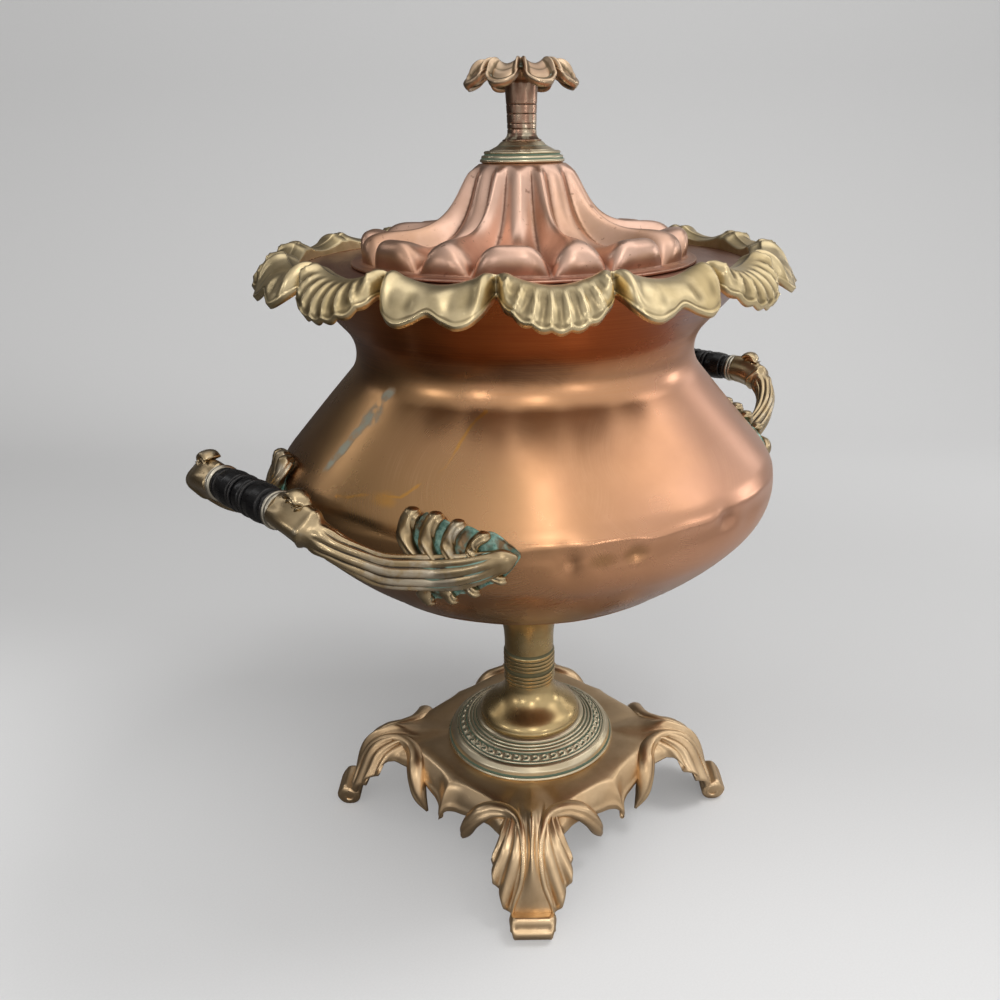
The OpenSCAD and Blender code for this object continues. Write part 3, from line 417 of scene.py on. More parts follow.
def metal(name, bare, aged, fouled, ridge=1.0, dirt=1.0, clouds=0.5, cloud_size=30.0, gloss=0.3,
          pits=0.3, bump=0.15, marks_and_shade=None):
    """Material of old metal: the worn metal group feeds a plain metallic shader. The last argument
    may add the marks of one piece, and on some pieces painted shade: it changes the look, which
    holds the colour, roughness, height, metallic share and hollows."""
    made, tree = material(name)
    worn = add(tree, "ShaderNodeGroup", {}, node_tree=worn_metal)
    for key, value in {"Bare": (*bare, 1), "Aged": (*aged, 1), "Fouled": (*fouled, 1),
                       "Ridge Wear": ridge, "Hollow Dirt": dirt, "Clouds": clouds,
                       "Cloud Size": cloud_size, "Gloss": gloss, "Pits": pits}.items():
        worn.inputs[key].default_value = value
    look = dict(worn.outputs.items())
    look["Metallic"] = ranged(look["Hollow"], 0.2, 1.0, 1.0, 1.0 - 0.35 * dirt)
    if marks_and_shade:
        marks_and_shade(look, here(tree))
    surface(tree, look["Color"], look["Roughness"], look["Height"], bump, Metallic=look["Metallic"])
    return made


cast_brass = metal("cast_brass", (0.74, 0.54, 0.33), (0.47, 0.30, 0.155), (0.10, 0.055, 0.028),
                   ridge=0.9, dirt=0.75, clouds=0.6, cloud_size=21.0, gloss=0.31, pits=0.4,
                   bump=0.10)

plate_z, collar_reach, plate_hole = 48.0, 47.0, 4.6
casting_t = 4.6

# Guide rows of half a leg's sector, from the middle of a leg (0) to the hanging corner (1): where
# the row lies out from the axis, beside the leg's middle line, and up.
across = [0.0, 0.07, 0.13, 0.22, 0.31, 0.40, 0.48, 0.54, 0.64, 0.76, 0.86, 0.94, 1.0]
shoulder = [(68, 0, 49.6), (68, 3.0, 49.3), (68, 6.0, 48.8), (67.5, 8.6, 48.3), (67, 10.8, 48),
            (66.5, 12.6, 47.9), (65.5, 14.6, 48), (64, 17, 48.2), (60, 23, 48.2), (54.5, 30, 48.0),
            (50, 36, 47.7), (46.5, 41, 47.4), (44.3, 44.3, 47.3)]
knee = [(90, 0, 50.4), (90, 2.4, 50.2), (89.5, 5.2, 49.4), (87.5, 8.6, 48.2), (84.5, 11.0, 47.4),
        (81, 12.6, 46.6), (77, 14.4, 45.8), (73.5, 17.5, 45.6), (65.5, 26, 45.6), (58, 35, 45.0),
        (53, 41.5, 44.3), (50.6, 46.6, 43.4), (49.8, 49.8, 42.4)]
bend = [(105, 0, 39.6), (105, 2.2, 39.2), (103.5, 5.4, 38.8), (100.3, 10.6, 39.8),
        (96.0, 14.8, 40.8), (90.5, 16.6, 41.8), (84, 16.6, 42.6), (76.5, 20.5, 42.6),
        (67.5, 29, 41.6), (59.3, 38.4, 39.8), (54.3, 44.4, 38.8), (52.6, 49.2, 37.4),
        (52.6, 52.6, 35.2)]
border = [(114.5, 0, 11.0), (114.5, 7.0, 11.0), (113.6, 12.0, 12.6), (108.4, 17.0, 19.5),
          (102.6, 20.6, 26.5), (96.0, 21.6, 33.0), (86.5, 17.6, 38.6), (77.5, 22.0, 38.4),
          (68.0, 30.6, 35.8), (60.2, 40.2, 33.0), (56.2, 46.4, 32.2), (54.4, 51.2, 29.8),
          (54.6, 54.6, 24.6)]


def leg_sector(columns, rows):
    """Upper side of half a leg's sector. Each column is a stream line that leaves the collar,
    passes the shoulder, the knee and the bend, and ends on the border. Three rounded fingers, with
    narrow grooves between them, run down each side of the leg from under its scroll, and end in
    teeth."""
    v = np.linspace(0, 1, columns)
    t = np.linspace(0, 1, rows)[:, None]
    turn = np.radians(through([0, 8, 24, 45], [0, 0.48, 0.76, 1], v))
    start = polar(collar_reach, turn, np.full(columns, plate_z))
    guides = np.stack([start] + [through(row, across, v) for row in (shoulder, knee, bend, border)])
    sheet = through(guides, [0, 0.3, 0.62, 0.82, 1], t[:, 0])
    low, high = 0.14, 0.50
    place = np.clip((v - low) / (high - low), 0, 1)
    top = 0.44 + 0.12 * (1 - place) ** 2
    inside = eased(v, 0.12, 0.16) * (1 - eased(v, 0.485, 0.515))
    wave = np.abs(np.sin(3 * np.pi * place))
    deep = eased(t, top, top + 0.12) * inside
    rise = (3.2 * wave ** 0.55 - 2.1) * deep
    spine = (1.5 * hump(v, 0, 0.05) - 0.9 * hump(v, 0.085, 0.028))
    spine = spine * eased(t, 0.42, 0.58) * (1 - 0.6 * eased(t, 0.85, 1.0))
    valley = -1.0 * hump(v, 0.135, 0.022) * eased(t, 0.3, 0.5) * (1 - eased(t, 0.93, 1.0))
    edge = 0.8 * eased(v, 0.60, 0.68) * hump(t, 0.94, 0.04)
    teeth = 2.6 * (wave ** 0.7 - 0.5) * inside * eased(t, 0.88, 1.0)
    normal = outward(sheet)
    normal *= np.sign(normal[..., 2:].mean())
    sheet = sheet + normal * (rise + spine + valley + edge)[..., None]
    sheet[..., :2] *= 1 + (teeth / 95)[..., None]
    return sheet


def leg_wall(columns, rows):
    """Closed section round half a leg's sector: upper side, rounded border, under side and the
    bolt hole's wall. The under side lies a wall below, and the wall thins towards the border."""
    top = leg_sector(columns, rows)
    normal = outward(top)
    normal *= np.sign(normal[..., 2:].mean())
    t = np.linspace(0, 1, rows)[:, None, None]
    under = top - normal * (casting_t - 1.8 * t ** 3)
    rim_mid = 0.5 * (top[-1] + under[-1])
    step = unit(top[-1] - top[-2])
    rim = np.stack([0.8 * top[-1] + 0.2 * under[-1] + 0.8 * step, rim_mid + 1.1 * step,
                    0.2 * top[-1] + 0.8 * under[-1] + 0.8 * step])
    turn = np.arctan2(top[0, :, 1], top[0, :, 0])
    hole = np.stack([polar(plate_hole, turn, np.full(columns, z)) for z in (plate_z - 6, plate_z)])
    flat = under[0].copy()
    flat[:, 2] = plate_z - 6
    return np.concatenate([hole[1:], top, rim, under[:0:-1], flat[None], hole[:1]])


def quarter_turns(grid):
    """The grid turned onto each of the four legs."""
    made = []
    for quarter in np.radians([45, 135, 225, 315]):
        c, s = np.cos(quarter), np.sin(quarter)
        made.append(np.stack([grid[..., 0] * c - grid[..., 1] * s,
                              grid[..., 0] * s + grid[..., 1] * c, grid[..., 2]], axis=-1))
    return made


def swept(line, radii, around, shape=np.ones((1, 1))):
    """Tube round a line of points: radii gives the half sizes beside and above the line, and shape
    a factor for each ring and each turn round it."""
    line = np.asarray(line, float)
    radii = np.asarray(radii, float)
    way = unit(np.gradient(line, axis=0))
    side = unit(np.cross(way, (0, 0, 1.0)))
    above = np.cross(side, way)
    turn = full_turn(around)
    beside = side[:, None] * (radii[:, None, :1] * np.sin(turn)[None, :, None])
    over = above[:, None] * (radii[:, None, 1:] * np.cos(turn)[None, :, None])
    return line[:, None] + shape[..., None] * (beside + over)


half = leg_wall(60, 68)
mirror = half[:, :0:-1] * (1, -1, 1)
plate = np.concatenate(quarter_turns(np.concatenate([mirror, half[:, :-1]], axis=1)), axis=1)

# A toe is a roll across the end of the leg: a raised band lies over it, then a hollow and a flat
# front, and a bead winds in a scroll at each end.
toe_reach, toe_r, toe_half = 116.3, 6.8, 11.8


def toe_roll():
    """A roll across the leg, whose ends are rounded. The band, the hollow and the front are bumps
    and dips of its radius."""
    spin = full_turn(54)[:, None]
    spin = (spin + np.pi) % (2 * np.pi) - np.pi
    spin = np.sort(spin, axis=0)
    along = np.linspace(-1, 1, 33)[None, :]
    inner = 1 - eased(np.abs(along), 0.72, 0.95)
    mark = (1.3 * hump(spin, 1.25, 0.28) - 0.9 * hump(spin, 0.62, 0.22)
            + 0.6 * hump(spin, 0.12, 0.20) - 0.5 * hump(spin, -0.45, 0.3))
    radius = toe_r * (1 - 0.5 * eased(np.abs(along), 0.88, 1.0) ** 2) + mark * inner
    width = toe_half * (1 + 0.07 * np.cos(spin - 1.9))
    roll = np.stack([toe_reach + 1.05 * radius * np.cos(spin) + 0 * along, width * along,
                     np.maximum(toe_r + radius * np.sin(spin) - 0.3, 0.0)], axis=-1)
    return roll.transpose(1, 0, 2)


def toe_scroll(way):
    """The bead that winds in a spiral on one end of the toe."""
    wind = np.linspace(0, 1, 60)
    spiral = 4.4 * (1 - 0.80 * wind)
    angle = np.pi * 0.5 + wind * 2 * np.pi * 1.2
    line = np.column_stack([toe_reach + spiral * np.cos(angle), np.full(60, way * (toe_half - 0.7)),
                            toe_r + 0.1 + spiral * np.sin(angle)])
    size = 1.35 * (1 - 0.4 * wind)
    turn = full_turn(12)
    centre = line[:, None]
    out = np.column_stack([np.cos(angle), np.zeros(60), np.sin(angle)])[:, None]
    return (centre + out * (size[:, None] * np.cos(turn))[..., None]
            + np.array([0, 1.0, 0]) * (size[:, None] * np.sin(turn))[..., None])


def side_scroll(way):
    """Scroll along the side of a leg: a bead rises from the toe beside the leg's smooth back,
    swells, curls outwards at the neck and hangs down as a blunt leaf, with a crease along its
    outer side."""
    t = np.linspace(0, 1, 90)
    knots = [0, 0.07, 0.17, 0.28, 0.40, 0.50, 0.60, 0.68, 0.76, 0.84, 0.90, 0.96, 1]
    line = through([(114.4, 11.2, 11.5), (112.4, 10.0, 17), (108.8, 6.6, 26), (105.0, 4.9, 34.5),
                    (98.6, 4.6, 42.6), (90.5, 5.7, 46.9), (81.5, 8.0, 47.6), (74.6, 13.4, 46.2),
                    (70.6, 21.4, 44.6), (69.6, 29.2, 41.0), (68.7, 34.2, 34.8), (66.4, 37.8, 26.0),
                    (62.8, 40.0, 18.6)], knots, t)
    size = through([0.6, 1.3, 1.6, 1.8, 2.1, 2.5, 3.2, 4.3, 5.3, 5.7, 5.2, 3.9, 0.8], knots, t)
    line[:, 1] *= way
    around = 28
    turn = full_turn(around)[None]
    place = eased(t, 0.55, 0.72)[:, None]
    crease = 1 - 0.20 * place * hump(turn, 1.15 if way > 0 else 2 * np.pi - 1.15, 0.26)
    return swept(line, np.column_stack([size, size * (1 - 0.12 * place[:, 0])]), around, crease)


leaves = [grid for way in (-1, 1) for grid in quarter_turns(side_scroll(way))]
toes = quarter_turns(toe_roll())
scrolls = [grid for way in (-1, 1) for grid in quarter_turns(toe_scroll(way))]


def joined(*pieces):
    """One object from several: the meshes are put together as they lie."""
    bpy.ops.object.select_all(action="DESELECT")
    for piece in pieces:
        piece.select_set(True)
    bpy.context.view_layer.objects.active = pieces[0]
    bpy.ops.object.join()
    return pieces[0]


stand = joined(skin("cast_stand", [plate.transpose(1, 0, 2)], passes=3),
               skin("toes", toes + leaves + scrolls, loop=(False, True)))
fit(stand, URN, "brass_gold", cast_brass, "base_casting")


# ---- Collar ------------------------------------------------------------------------------------
# Turned brass ring on the plate: a rim line, a broad rounded band, a band of struck beads shaped
# like a C, and a nest of fine rings round the foot of the bell. Verdigris sits in its grooves.
def outline(corners, closed=True, step=1.5):
    """Line through corners given as radius, height and round. Each corner is cut by a curve of
    that round, and straight sides are cut into steps."""
    line, count = [], len(corners)
    for i, corner in enumerate(corners):
        middle = np.array(corner[:2], float)
        size = corner[2] if len(corner) > 2 else 0.0
        if size == 0 or (not closed and i in (0, count - 1)):
            line.append(middle[None])
            continue
        back = np.array(corners[i - 1][:2]) - middle
        on = np.array(corners[(i + 1) % count][:2]) - middle
        back_l, on_l = np.linalg.norm(back), np.linalg.norm(on)
        half = np.arccos(np.clip(back @ on / (back_l * on_l), -1, 1)) / 2
        cut = min(size / np.tan(half), 0.49 * back_l, 0.49 * on_l)
        first, last = middle + back / back_l * cut, middle + on / on_l * cut
        share = np.linspace(0, 1, 5)[:, None]
        line.append((1 - share) ** 2 * first + 2 * share * (1 - share) * middle + share ** 2 * last)
    line = np.concatenate(line)
    if closed:
        line = np.concatenate([line, line[:1]])
    made = []
    for a, b in zip(line[:-1], line[1:]):
        parts = max(1, int(np.linalg.norm(b - a) / step))
        made += [a + (b - a) * k / parts for k in range(parts)]
    return np.array(made if closed else made + [line[-1]])


def turned(line, around=160, axis="Z", at=(0, 0, 0)):
    """Grid of a turned form: the line's radius and height go round the axis through the point."""
    turn = full_turn(around)
    r, h = line[:, :1], line[:, 1:2] + 0 * turn
    x, y = r * np.cos(turn), r * np.sin(turn)
    grid = {"Z": (x, y, h), "Y": (x, h, y), "-Y": (x, -h, y), "X": (h, x, y)}[axis]
    return np.stack(grid, axis=-1) + np.asarray(at, float)


def lathe(name, line, around=160, axis="Z", at=(0, 0, 0), closed=True):
    """A piece of one turned form. An outline that isn't closed ends near the axis."""
    return skin(name, [turned(line, around, axis, at)], (closed, True), passes=1)


collar_line = outline([
    (5, 48), (51.0, 48, 0.3), (51.6, 48.9, 0.5), (51.0, 49.9, 0.3), (50.2, 49.9, 0.2),
    (50.0, 50.6, 0.3), (49.4, 53.0, 2.0), (47.2, 55.2, 2.2), (45.6, 55.9, 0.3), (45.4, 55.4, 0.2),
    (44.9, 56.4, 0.5), (44.2, 56.8, 0.3), (44.0, 56.3, 0.2), (39.6, 58.7, 0.2), (39.4, 59.7, 0.4),
    (38.6, 60.2, 0.5), (38.0, 60.0, 0.2), (37.7, 59.5, 0.3), (37.0, 60.7, 0.7), (36.0, 60.7, 0.3),
    (35.7, 60.2, 0.3), (35.0, 61.6, 0.7), (34.0, 61.6, 0.3), (33.7, 61.1, 0.3), (33.2, 62.8, 0.6),
    (32.0, 63.5, 0.5), (31.2, 63.8), (5, 63.8)], step=0.5)
plain = (collar_line[:, 0] < 31.0) | (collar_line[:, 1] < 48.01) & (collar_line[:, 0] < 50.0)
collar_line = collar_line[~plain | (np.arange(len(plain)) % 8 == 0)]
beads, columns = 48, 10
band_in, band_out, band_low, band_mid = 39.9, 43.8, 55, 41.8
around = beads * columns
collar = turned(collar_line, around)
radius = np.hypot(collar[..., 0], collar[..., 1])
bead = (np.arange(around) % columns) / (columns / 2) - 1
spread = (radius - band_mid) / 1.9
ringed = np.hypot(bead[None] * 1.15, spread)
opening = 1 - eased(-bead[None], 0.1, 0.5) * (np.abs(spread) < 0.4)
in_band = (radius > band_in) & (radius < band_out) & (collar[..., 2] > band_low)
collar[..., 2] += in_band * 0.95 * hump(ringed, 0.60, 0.24) * opening
turned_brass = metal("turned_brass", (0.68, 0.59, 0.42), (0.46, 0.365, 0.22), (0.17, 0.24, 0.175),
                     ridge=0.8, dirt=1.0, clouds=0.6, cloud_size=30.0, gloss=0.31, pits=0.4,
                     bump=0.09)
fit(skin("bead_collar", [collar], passes=1), URN, "brass_old", turned_brass, "base_collar")


# ---- Pedestal ----------------------------------------------------------------------------------
# Bell and stem: two hollow brass turnings that stand on each other on a tie rod. Each has groups of
# fine rings. The stem flares to a flange, and the bowl's boss lies on it.
def cubic(a, b, c, d, count):
    """Points on a cubic curve from a to d, drawn towards b and c."""
    t = np.linspace(0, 1, count)[:, None]
    a, b, c, d = (np.asarray(p, float) for p in (a, b, c, d))
    return (1 - t) ** 3 * a + 3 * t * (1 - t) ** 2 * b + 3 * t * t * (1 - t) * c + t ** 3 * d


def ring_group(base_r, low, count, pitch, high):
    """Corners of a group of fine rounded rings, from the lowest up."""
    made = []
    for k in range(count):
        z = low + k * pitch
        made += [(base_r, z - pitch * 0.42, 0.1), (base_r + high, z - pitch * 0.3, 0.3),
                 (base_r + high, z + pitch * 0.3, 0.3), (base_r, z + pitch * 0.42, 0.1)]
    return made


waist, bore = 14.8, 11.8
gold_brass = metal("gold_brass", (0.52, 0.385, 0.19), (0.33, 0.21, 0.085), (0.11, 0.12, 0.07),
                   ridge=0.6, dirt=0.85, clouds=0.7, cloud_size=26.0, gloss=0.24, pits=0.3,
                   bump=0.07)
flare = cubic((30.6, 65.6), (29.6, 72.5), (15.2, 73.5), (14.8, 87.4), 26)
bell = outline([(bore, 64), (30.9, 64, 0.2), (30.9, 65.1, 0.4)] + [tuple(p) for p in flare]
               + ring_group(waist, 89.2, 3, 2.5, 0.75) + [(waist + 0.1, 96.6)]
               + ring_group(waist, 99.0, 3, 2.5, 0.75) + [(waist, 105.6, 0.2), (14.2, 106),
                                                        (bore, 106)], step=0.9)
fit(lathe("bell", bell), URN, "brass_gold", gold_brass, "pedestal_bell")

rise = cubic((14.8, 112.5), (14.6, 130), (19.6, 138.5), (24, 141.2), 24)
sleeve = outline([(bore, 106.05), (15.3, 106.05, 0.2), (15.5, 107.0, 0.4), (15.0, 107.9, 0.2),
                  (14.8, 108.6, 0.2)] + [tuple(p) for p in rise]
                 + [(24.1, 142.0, 0.3), (24, 143.3, 0.2), (bore, 143.3)], step=0.9)
fit(lathe("stem", sleeve), URN, "brass_gold", gold_brass, "stem_sleeve")

boss = outline([(5, 119.5), (bore - 0.15, 119.5), (bore - 0.15, 143.4), (23.2, 143.4, 0.2),
                (24, 144.2, 0.5), (24, 146.2, 0.4), (23.4, 148.3, 0.4), (20, 147.9), (5, 147.3)],
               step=0.9)
fit(lathe("boss", boss, 96), URN, "brass_gold", gold_brass, "bowl_boss")


# ---- Bowl --------------------------------------------------------------------------------------
# Three copper sheets, raised and turned, then soldered: a round bottom, a belly with its shoulder,
# and a neck that flares to the rim. Knocks have left dents and an uneven fold round the belly.
bowl_low, belly_z, belly_r = 147.4, 226.04, 134.3
dish_r, dish_z = 166.15, 313.55
belly_round, belly_turn, shoulder_round, shoulder_slope = 30.0, 40.0, 25.0, 40.95
neck_r, neck_z, neck_round, flare_slope = 89.0, 295.04, 20.0, 41.0
rim_r, rim_z, sheet_t = 118.1, 336.04, 1.5
dish_seam, neck_seam = 175.4, 236.04
near_turn, bowl_rows, bowl_columns = 45.0, 420, 400


def bowl_line(count):
    """Outline of the bowl from the bottom's middle to the rim as radius, height and outward
    normal: three arcs, two straight runs, and points at even distances."""
    def arc(middle, size, first, last):
        turn = np.radians(np.linspace(first, last, 60))
        return np.column_stack([middle[0] + size * np.cos(turn), middle[1] + size * np.sin(turn)])
    neck = (neck_r + neck_round, neck_z)
    line = np.concatenate([
        arc((0, dish_z), dish_r, -89.9, -belly_turn),
        arc((belly_r - belly_round, belly_z), belly_round, -belly_turn, 0)[1:],
        arc((belly_r - shoulder_round, belly_z), shoulder_round, 0, shoulder_slope)[1:],
        arc(neck, neck_round, 180 + shoulder_slope, 180 - flare_slope), [[rim_r, rim_z]]])
    length = np.concatenate([[0], np.cumsum(np.linalg.norm(np.diff(line, axis=0), axis=1))])
    at = np.linspace(0, length[-1], count)
    line = np.column_stack([np.interp(at, length, line[:, k]) for k in (0, 1)])
    way = unit(np.gradient(line, axis=0))
    return line, np.column_stack([way[:, 1], -way[:, 0]])


# Dents: turn from the near side in degrees (right positive), height, half width in degrees, half
# height and depth in millimetres.
dents = [(7.5, 226.5, 1.9, 6.5, 2.2), (15.5, 225.5, 2.6, 5.5, 1.7), (20.5, 227.5, 2.6, 6.0, 2.4),
         (44, 232, 2.6, 5.0, 2.0), (31, 224, 3.0, 5.0, 0.5), (52, 226, 4.0, 6.0, 0.7),
         (-20, 262, 9.0, 10, 0.35), (24, 268, 10, 12, 0.4), (-64, 226, 5, 7, 0.8),
         (130, 228, 4, 7, 1.2), (151, 226, 3, 6, 1.0), (-110, 230, 6, 8, 0.9),
         (180, 250, 8, 9, 0.5)]


def knocked(turn, height):
    """How far the sheet stands out of its true form: dents, the fold along the belly, and the long
    soft waves that the hammer leaves."""
    out = 0.22 * np.sin(3 * turn + 0.6) * np.sin(height / 21.0)
    out = out + 0.12 * np.sin(7 * turn + height / 13)
    out = out + 0.06 * np.sin(17 * turn + 2.0) * np.sin(height / 7.0 + 1)
    for place, level, wide, high, deep in dents:
        off = (turn - np.radians(near_turn + place) + np.pi) % (2 * np.pi) - np.pi
        out = out - deep * np.exp(-(off / np.radians(wide)) ** 2 - ((height - level) / high) ** 2)
    right = turn - np.radians(near_turn)
    fold = (233.2 + 1.5 * np.sin(1.7 * right + 0.4) + 0.8 * np.sin(9 * right)
            + 0.5 * np.sin(24 * right + 1))
    off = (right - 0.55 + np.pi) % (2 * np.pi)
    strong = 0.06 + (0.8 + 0.2 * np.sin(13 * right)) * hump(off, np.pi, 0.75)
    side = height - fold
    return out + strong * (0.95 * hump(side, 0, 2.1) - 0.55 * hump(side, -5.5, 3.4))


def bowl_sheet(low, high, lip):
    """Grid of one sheet of the bowl between two heights: outer face up, then inner face down. lip
    turns the lower edge out by a hair, as where a sheet laps over the one below it."""
    line, normal = bowl_line(bowl_rows)
    rows = np.arange(bowl_rows)
    ends = np.interp((max(low, line[0, 1]), high), line[:, 1], rows)
    at = np.concatenate([ends[:1], ends[:1] + 0.05,
                         np.arange(np.ceil(ends[0] + 0.2), ends[1] - 0.2),
                         ends[1:] - 0.05, ends[1:]])
    line, normal = (np.column_stack([np.interp(at, rows, part[:, k]) for k in (0, 1)])
                    for part in (line, normal))
    back = slice(None, None, -3)
    profile = np.concatenate([line, (line - normal * sheet_t)[back]])
    turn = full_turn(bowl_columns)[None]
    move = np.concatenate([normal, normal[back]])
    out = knocked(turn, profile[:, 1:])
    out = out + lip * np.exp(-np.maximum(profile[:, 1:] - low, 0) / 0.7)
    r = profile[:, :1] + move[:, :1] * out
    z = profile[:, 1:] + move[:, 1:] * out
    return polar(r, turn, z)


def swirl(place, middle, fine, wide):
    """Scratches that polishing left in arcs about a point in millimetres. Their lines run along
    the arcs, and patches of noise let them come and go. Gives their mask."""
    away = vector("SUBTRACT", place, [c * MM for c in middle])
    far = vector("LENGTH", away)
    lines = add(place.id_data, "ShaderNodeCombineXYZ", {0: times(far, fine)}).outputs[0]
    mark = noise(vector("ADD", lines, vector("SCALE", away, scale=38.0)), 1.0, 3.0, 0.7)
    near = times(faded(far, 0.25 * wide * MM, wide * MM, 1.0, 0.0),
                 faded(far, 0.2 * wide * MM, 0.5 * wide * MM))
    return times(ranged(mark, 0.48, 0.62), times(near, ranged(noise(away, 28.0, 2.0), 0.46, 0.62)))


def spot(place, middle, size, edge):
    """Mask of a soft patch about a point in millimetres, with a ragged edge."""
    away = vector("SUBTRACT", place, [c * MM for c in middle])
    far = vector("LENGTH", vector("MULTIPLY", away, [1 / (s * MM) for s in size]))
    ragged = times(less(noise(place, 55.0, 5.0, 0.6), 0.5), edge)
    return faded(plus(far, ragged), 0.25, 1.0, 1.0, 0.0)


def streak(place, ends, width, ragged):
    """Mask of a narrow mark that runs from one point to another in millimetres."""
    a, b = (np.array(p, float) * MM for p in ends)
    length = float(np.linalg.norm(b - a))
    way = ((b - a) / length).tolist()
    cloud = noise(place, 60.0, 4.0).node.outputs["Color"]
    shake = vector("SCALE", vector("SUBTRACT", cloud, (0.5, 0.5, 0.5)), scale=ragged * MM)
    away = vector("ADD", vector("SUBTRACT", place, a.tolist()), shake)
    along = vector("DOT_PRODUCT", away, way)
    kept = add(place.id_data, "ShaderNodeClamp", {0: along, 1: 0.0, 2: length}).outputs[0]
    beside = vector("DISTANCE", away, vector("SCALE", way, scale=kept))
    return faded(beside, 0.25 * width * MM, width * MM, 1.0, 0.0)


def strongest(masks):
    """The highest of several masks at each point."""
    first, *rest = masks
    for mask in rest:
        first = sums("MAXIMUM", first, mask)
    return first


def near_side(right, height, out=0.0):
    """Point on the bowl from its turn off the near side in degrees and its height."""
    line = bowl_line(bowl_rows)[0]
    upper = line[:, 1] > bowl_low + 1
    r = float(np.interp(height, line[upper, 1], line[upper, 0])) + out
    turn = np.radians(near_turn + right)
    return (r * np.cos(turn), r * np.sin(turn), height)


def belly_marks_and_shade(look, place):
    """Marks of the bowl, with painted shade: brown neck, golden left and pink right side, painted
    shade on the underside, on the far left flank and in three dents, swirls of polish, brush lines
    round the neck, verdigris and pale runs on the left."""
    parts = add(place.id_data, "ShaderNodeSeparateXYZ", {0: place}).outputs
    right = times(less(parts["Y"], parts["X"]), 0.7071)
    shake = times(less(noise(place, 9.0, 4.0, 0.55), 0.5), 0.14)
    moved, lifted = plus(right, shake), plus(parts["Z"], times(shake, 0.12))
    tint(look, faded(moved, -0.09, 0.055, 0.92, 0.0), 0.50, 0.29, 0.125)
    tint(look, faded(moved, 0.02, 0.10, 0.0, 0.8), 0.68, 0.37, 0.255)
    # Painted shade: the far left flank is darkened.
    tint(look, times(faded(moved, -0.125, -0.075, 1.0, 0.0), 0.7), 0.13, 0.055, 0.035)
    tint(look, times(faded(lifted, 0.291, 0.305), 0.86), 0.36, 0.125, 0.048)
    blue = times(faded(right, 0.045, 0.085), faded(lifted, 0.302, 0.322))
    tint(look, times(blue, 0.65), 0.16, 0.15, 0.20)
    # Painted shade: the bowl darkens below the belly.
    tint(look, times(faded(lifted, 0.176, 0.224, 1.0, 0.0), 0.75), 0.18, 0.085, 0.055)
    tint(look, times(less(1.0, faded(lifted, 0.2275, 0.2335)), 0.25), 0.42, 0.19, 0.085)
    # Dark patches on the neck; the three spots at the dents below the fold are painted shade.
    for at, size, share, colour in (
            ((3, 300), (30, 30, 10), 0.62, (0.10, 0.05, 0.03)),
            ((-30, 309), (26, 26, 14), 0.4, (0.13, 0.05, 0.03)),
            ((-58, 296), (24, 30, 20), 0.5, (0.12, 0.045, 0.03)),
            ((14, 226.5), (9, 9, 5), 0.5, (0.30, 0.16, 0.06)),
            ((21, 227), (8, 8, 6), 0.55, (0.28, 0.15, 0.06)),
            ((45, 232), (7, 7, 7), 0.4, (0.22, 0.10, 0.06))):
        tint(look, times(spot(place, near_side(*at), size, 0.9), share), *colour)
    points = [near_side(*at) for at in ((-11, 283), (-17, 270), (-19, 262), (-27, 249), (-33, 248),
                                        (-44, 243))]
    gilt = strongest([streak(place, ends, 1.3, 6.0) for ends in zip(points[:-1], points[1:])]
                     + [times(spot(place, near_side(-30, 247), (9, 9, 5), 1.6), 0.8)])
    tint(look, times(gilt, 0.75), 0.74, 0.36, 0.075)
    green = streak(place, (near_side(-44, 284), near_side(-52, 251)), 4.2, 14.0)
    green = times(green, ranged(noise(place, 150.0, 3.0), 0.36, 0.56))
    tint(look, times(green, 0.8), 0.42, 0.48, 0.41)
    look["Metallic"] = less(look["Metallic"], times(green, 0.6), keep=True)
    raised(look, "Roughness", times(green, 0.35))
    marks = strongest([swirl(place, near_side(*at), fine, wide) for at, fine, wide in (
        ((-6, 246, -18), 2200.0, 92), ((36, 252, -14), 2200.0, 70), ((62, 245, -10), 2200.0, 60),
        ((-100, 250, -12), 2400.0, 60), ((160, 250, -12), 2400.0, 70))])
    brush = noise(vector("MULTIPLY", place, (22.0, 22.0, 1500.0)), 1.0, 3.0, 0.65)
    lines = times(ranged(brush, 0.42, 0.68), faded(parts["Z"], 0.276, 0.298, 0.12, 1.0))
    tint(look, times(lines, 0.30), 0.60, 0.27, 0.10)
    tint(look, times(marks, 0.22), 0.86, 0.55, 0.34)
    raised(look, "Roughness", times(marks, 0.07))
    raised(look, "Height", times(marks, -0.28))
    raised(look, "Height", times(brush, 0.5))


copper = metal("polished_copper", (0.64, 0.335, 0.185), (0.50, 0.25, 0.125), (0.12, 0.05, 0.03),
               ridge=0.35, dirt=0.5, clouds=0.5, cloud_size=13.0, gloss=0.27, pits=0.25, bump=0.035,
               marks_and_shade=belly_marks_and_shade)
for name, low, high, lip, slot, node in (
        ("bottom_sheet", bowl_low, dish_seam + 1.0, 0.0, "copper", "bowl_bottom"),
        ("belly_sheet", dish_seam, neck_seam, 0.5, "copper", "bowl_lower"),
        ("neck_sheet", neck_seam, rim_z, 0.0, "copper_dark", "bowl_upper")):
    fit(skin(name, [bowl_sheet(low, high, lip)], passes=1), URN, slot, copper, node)


# ---- Shelf -------------------------------------------------------------------------------------
# Flat copper ring soldered on the flared rim. The lid's flange lies on it. It has darkened to a
# purple brown, with the brush's lines running round.
shelf_z, mouth_r = 337.54, 79.0


def from_axis(place):
    """Distance from the urn's axis."""
    parts = add(place.id_data, "ShaderNodeSeparateXYZ", {0: place}).outputs
    flat = add(place.id_data, "ShaderNodeCombineXYZ", {0: parts["X"], 1: parts["Y"]}).outputs[0]
    return vector("LENGTH", flat)


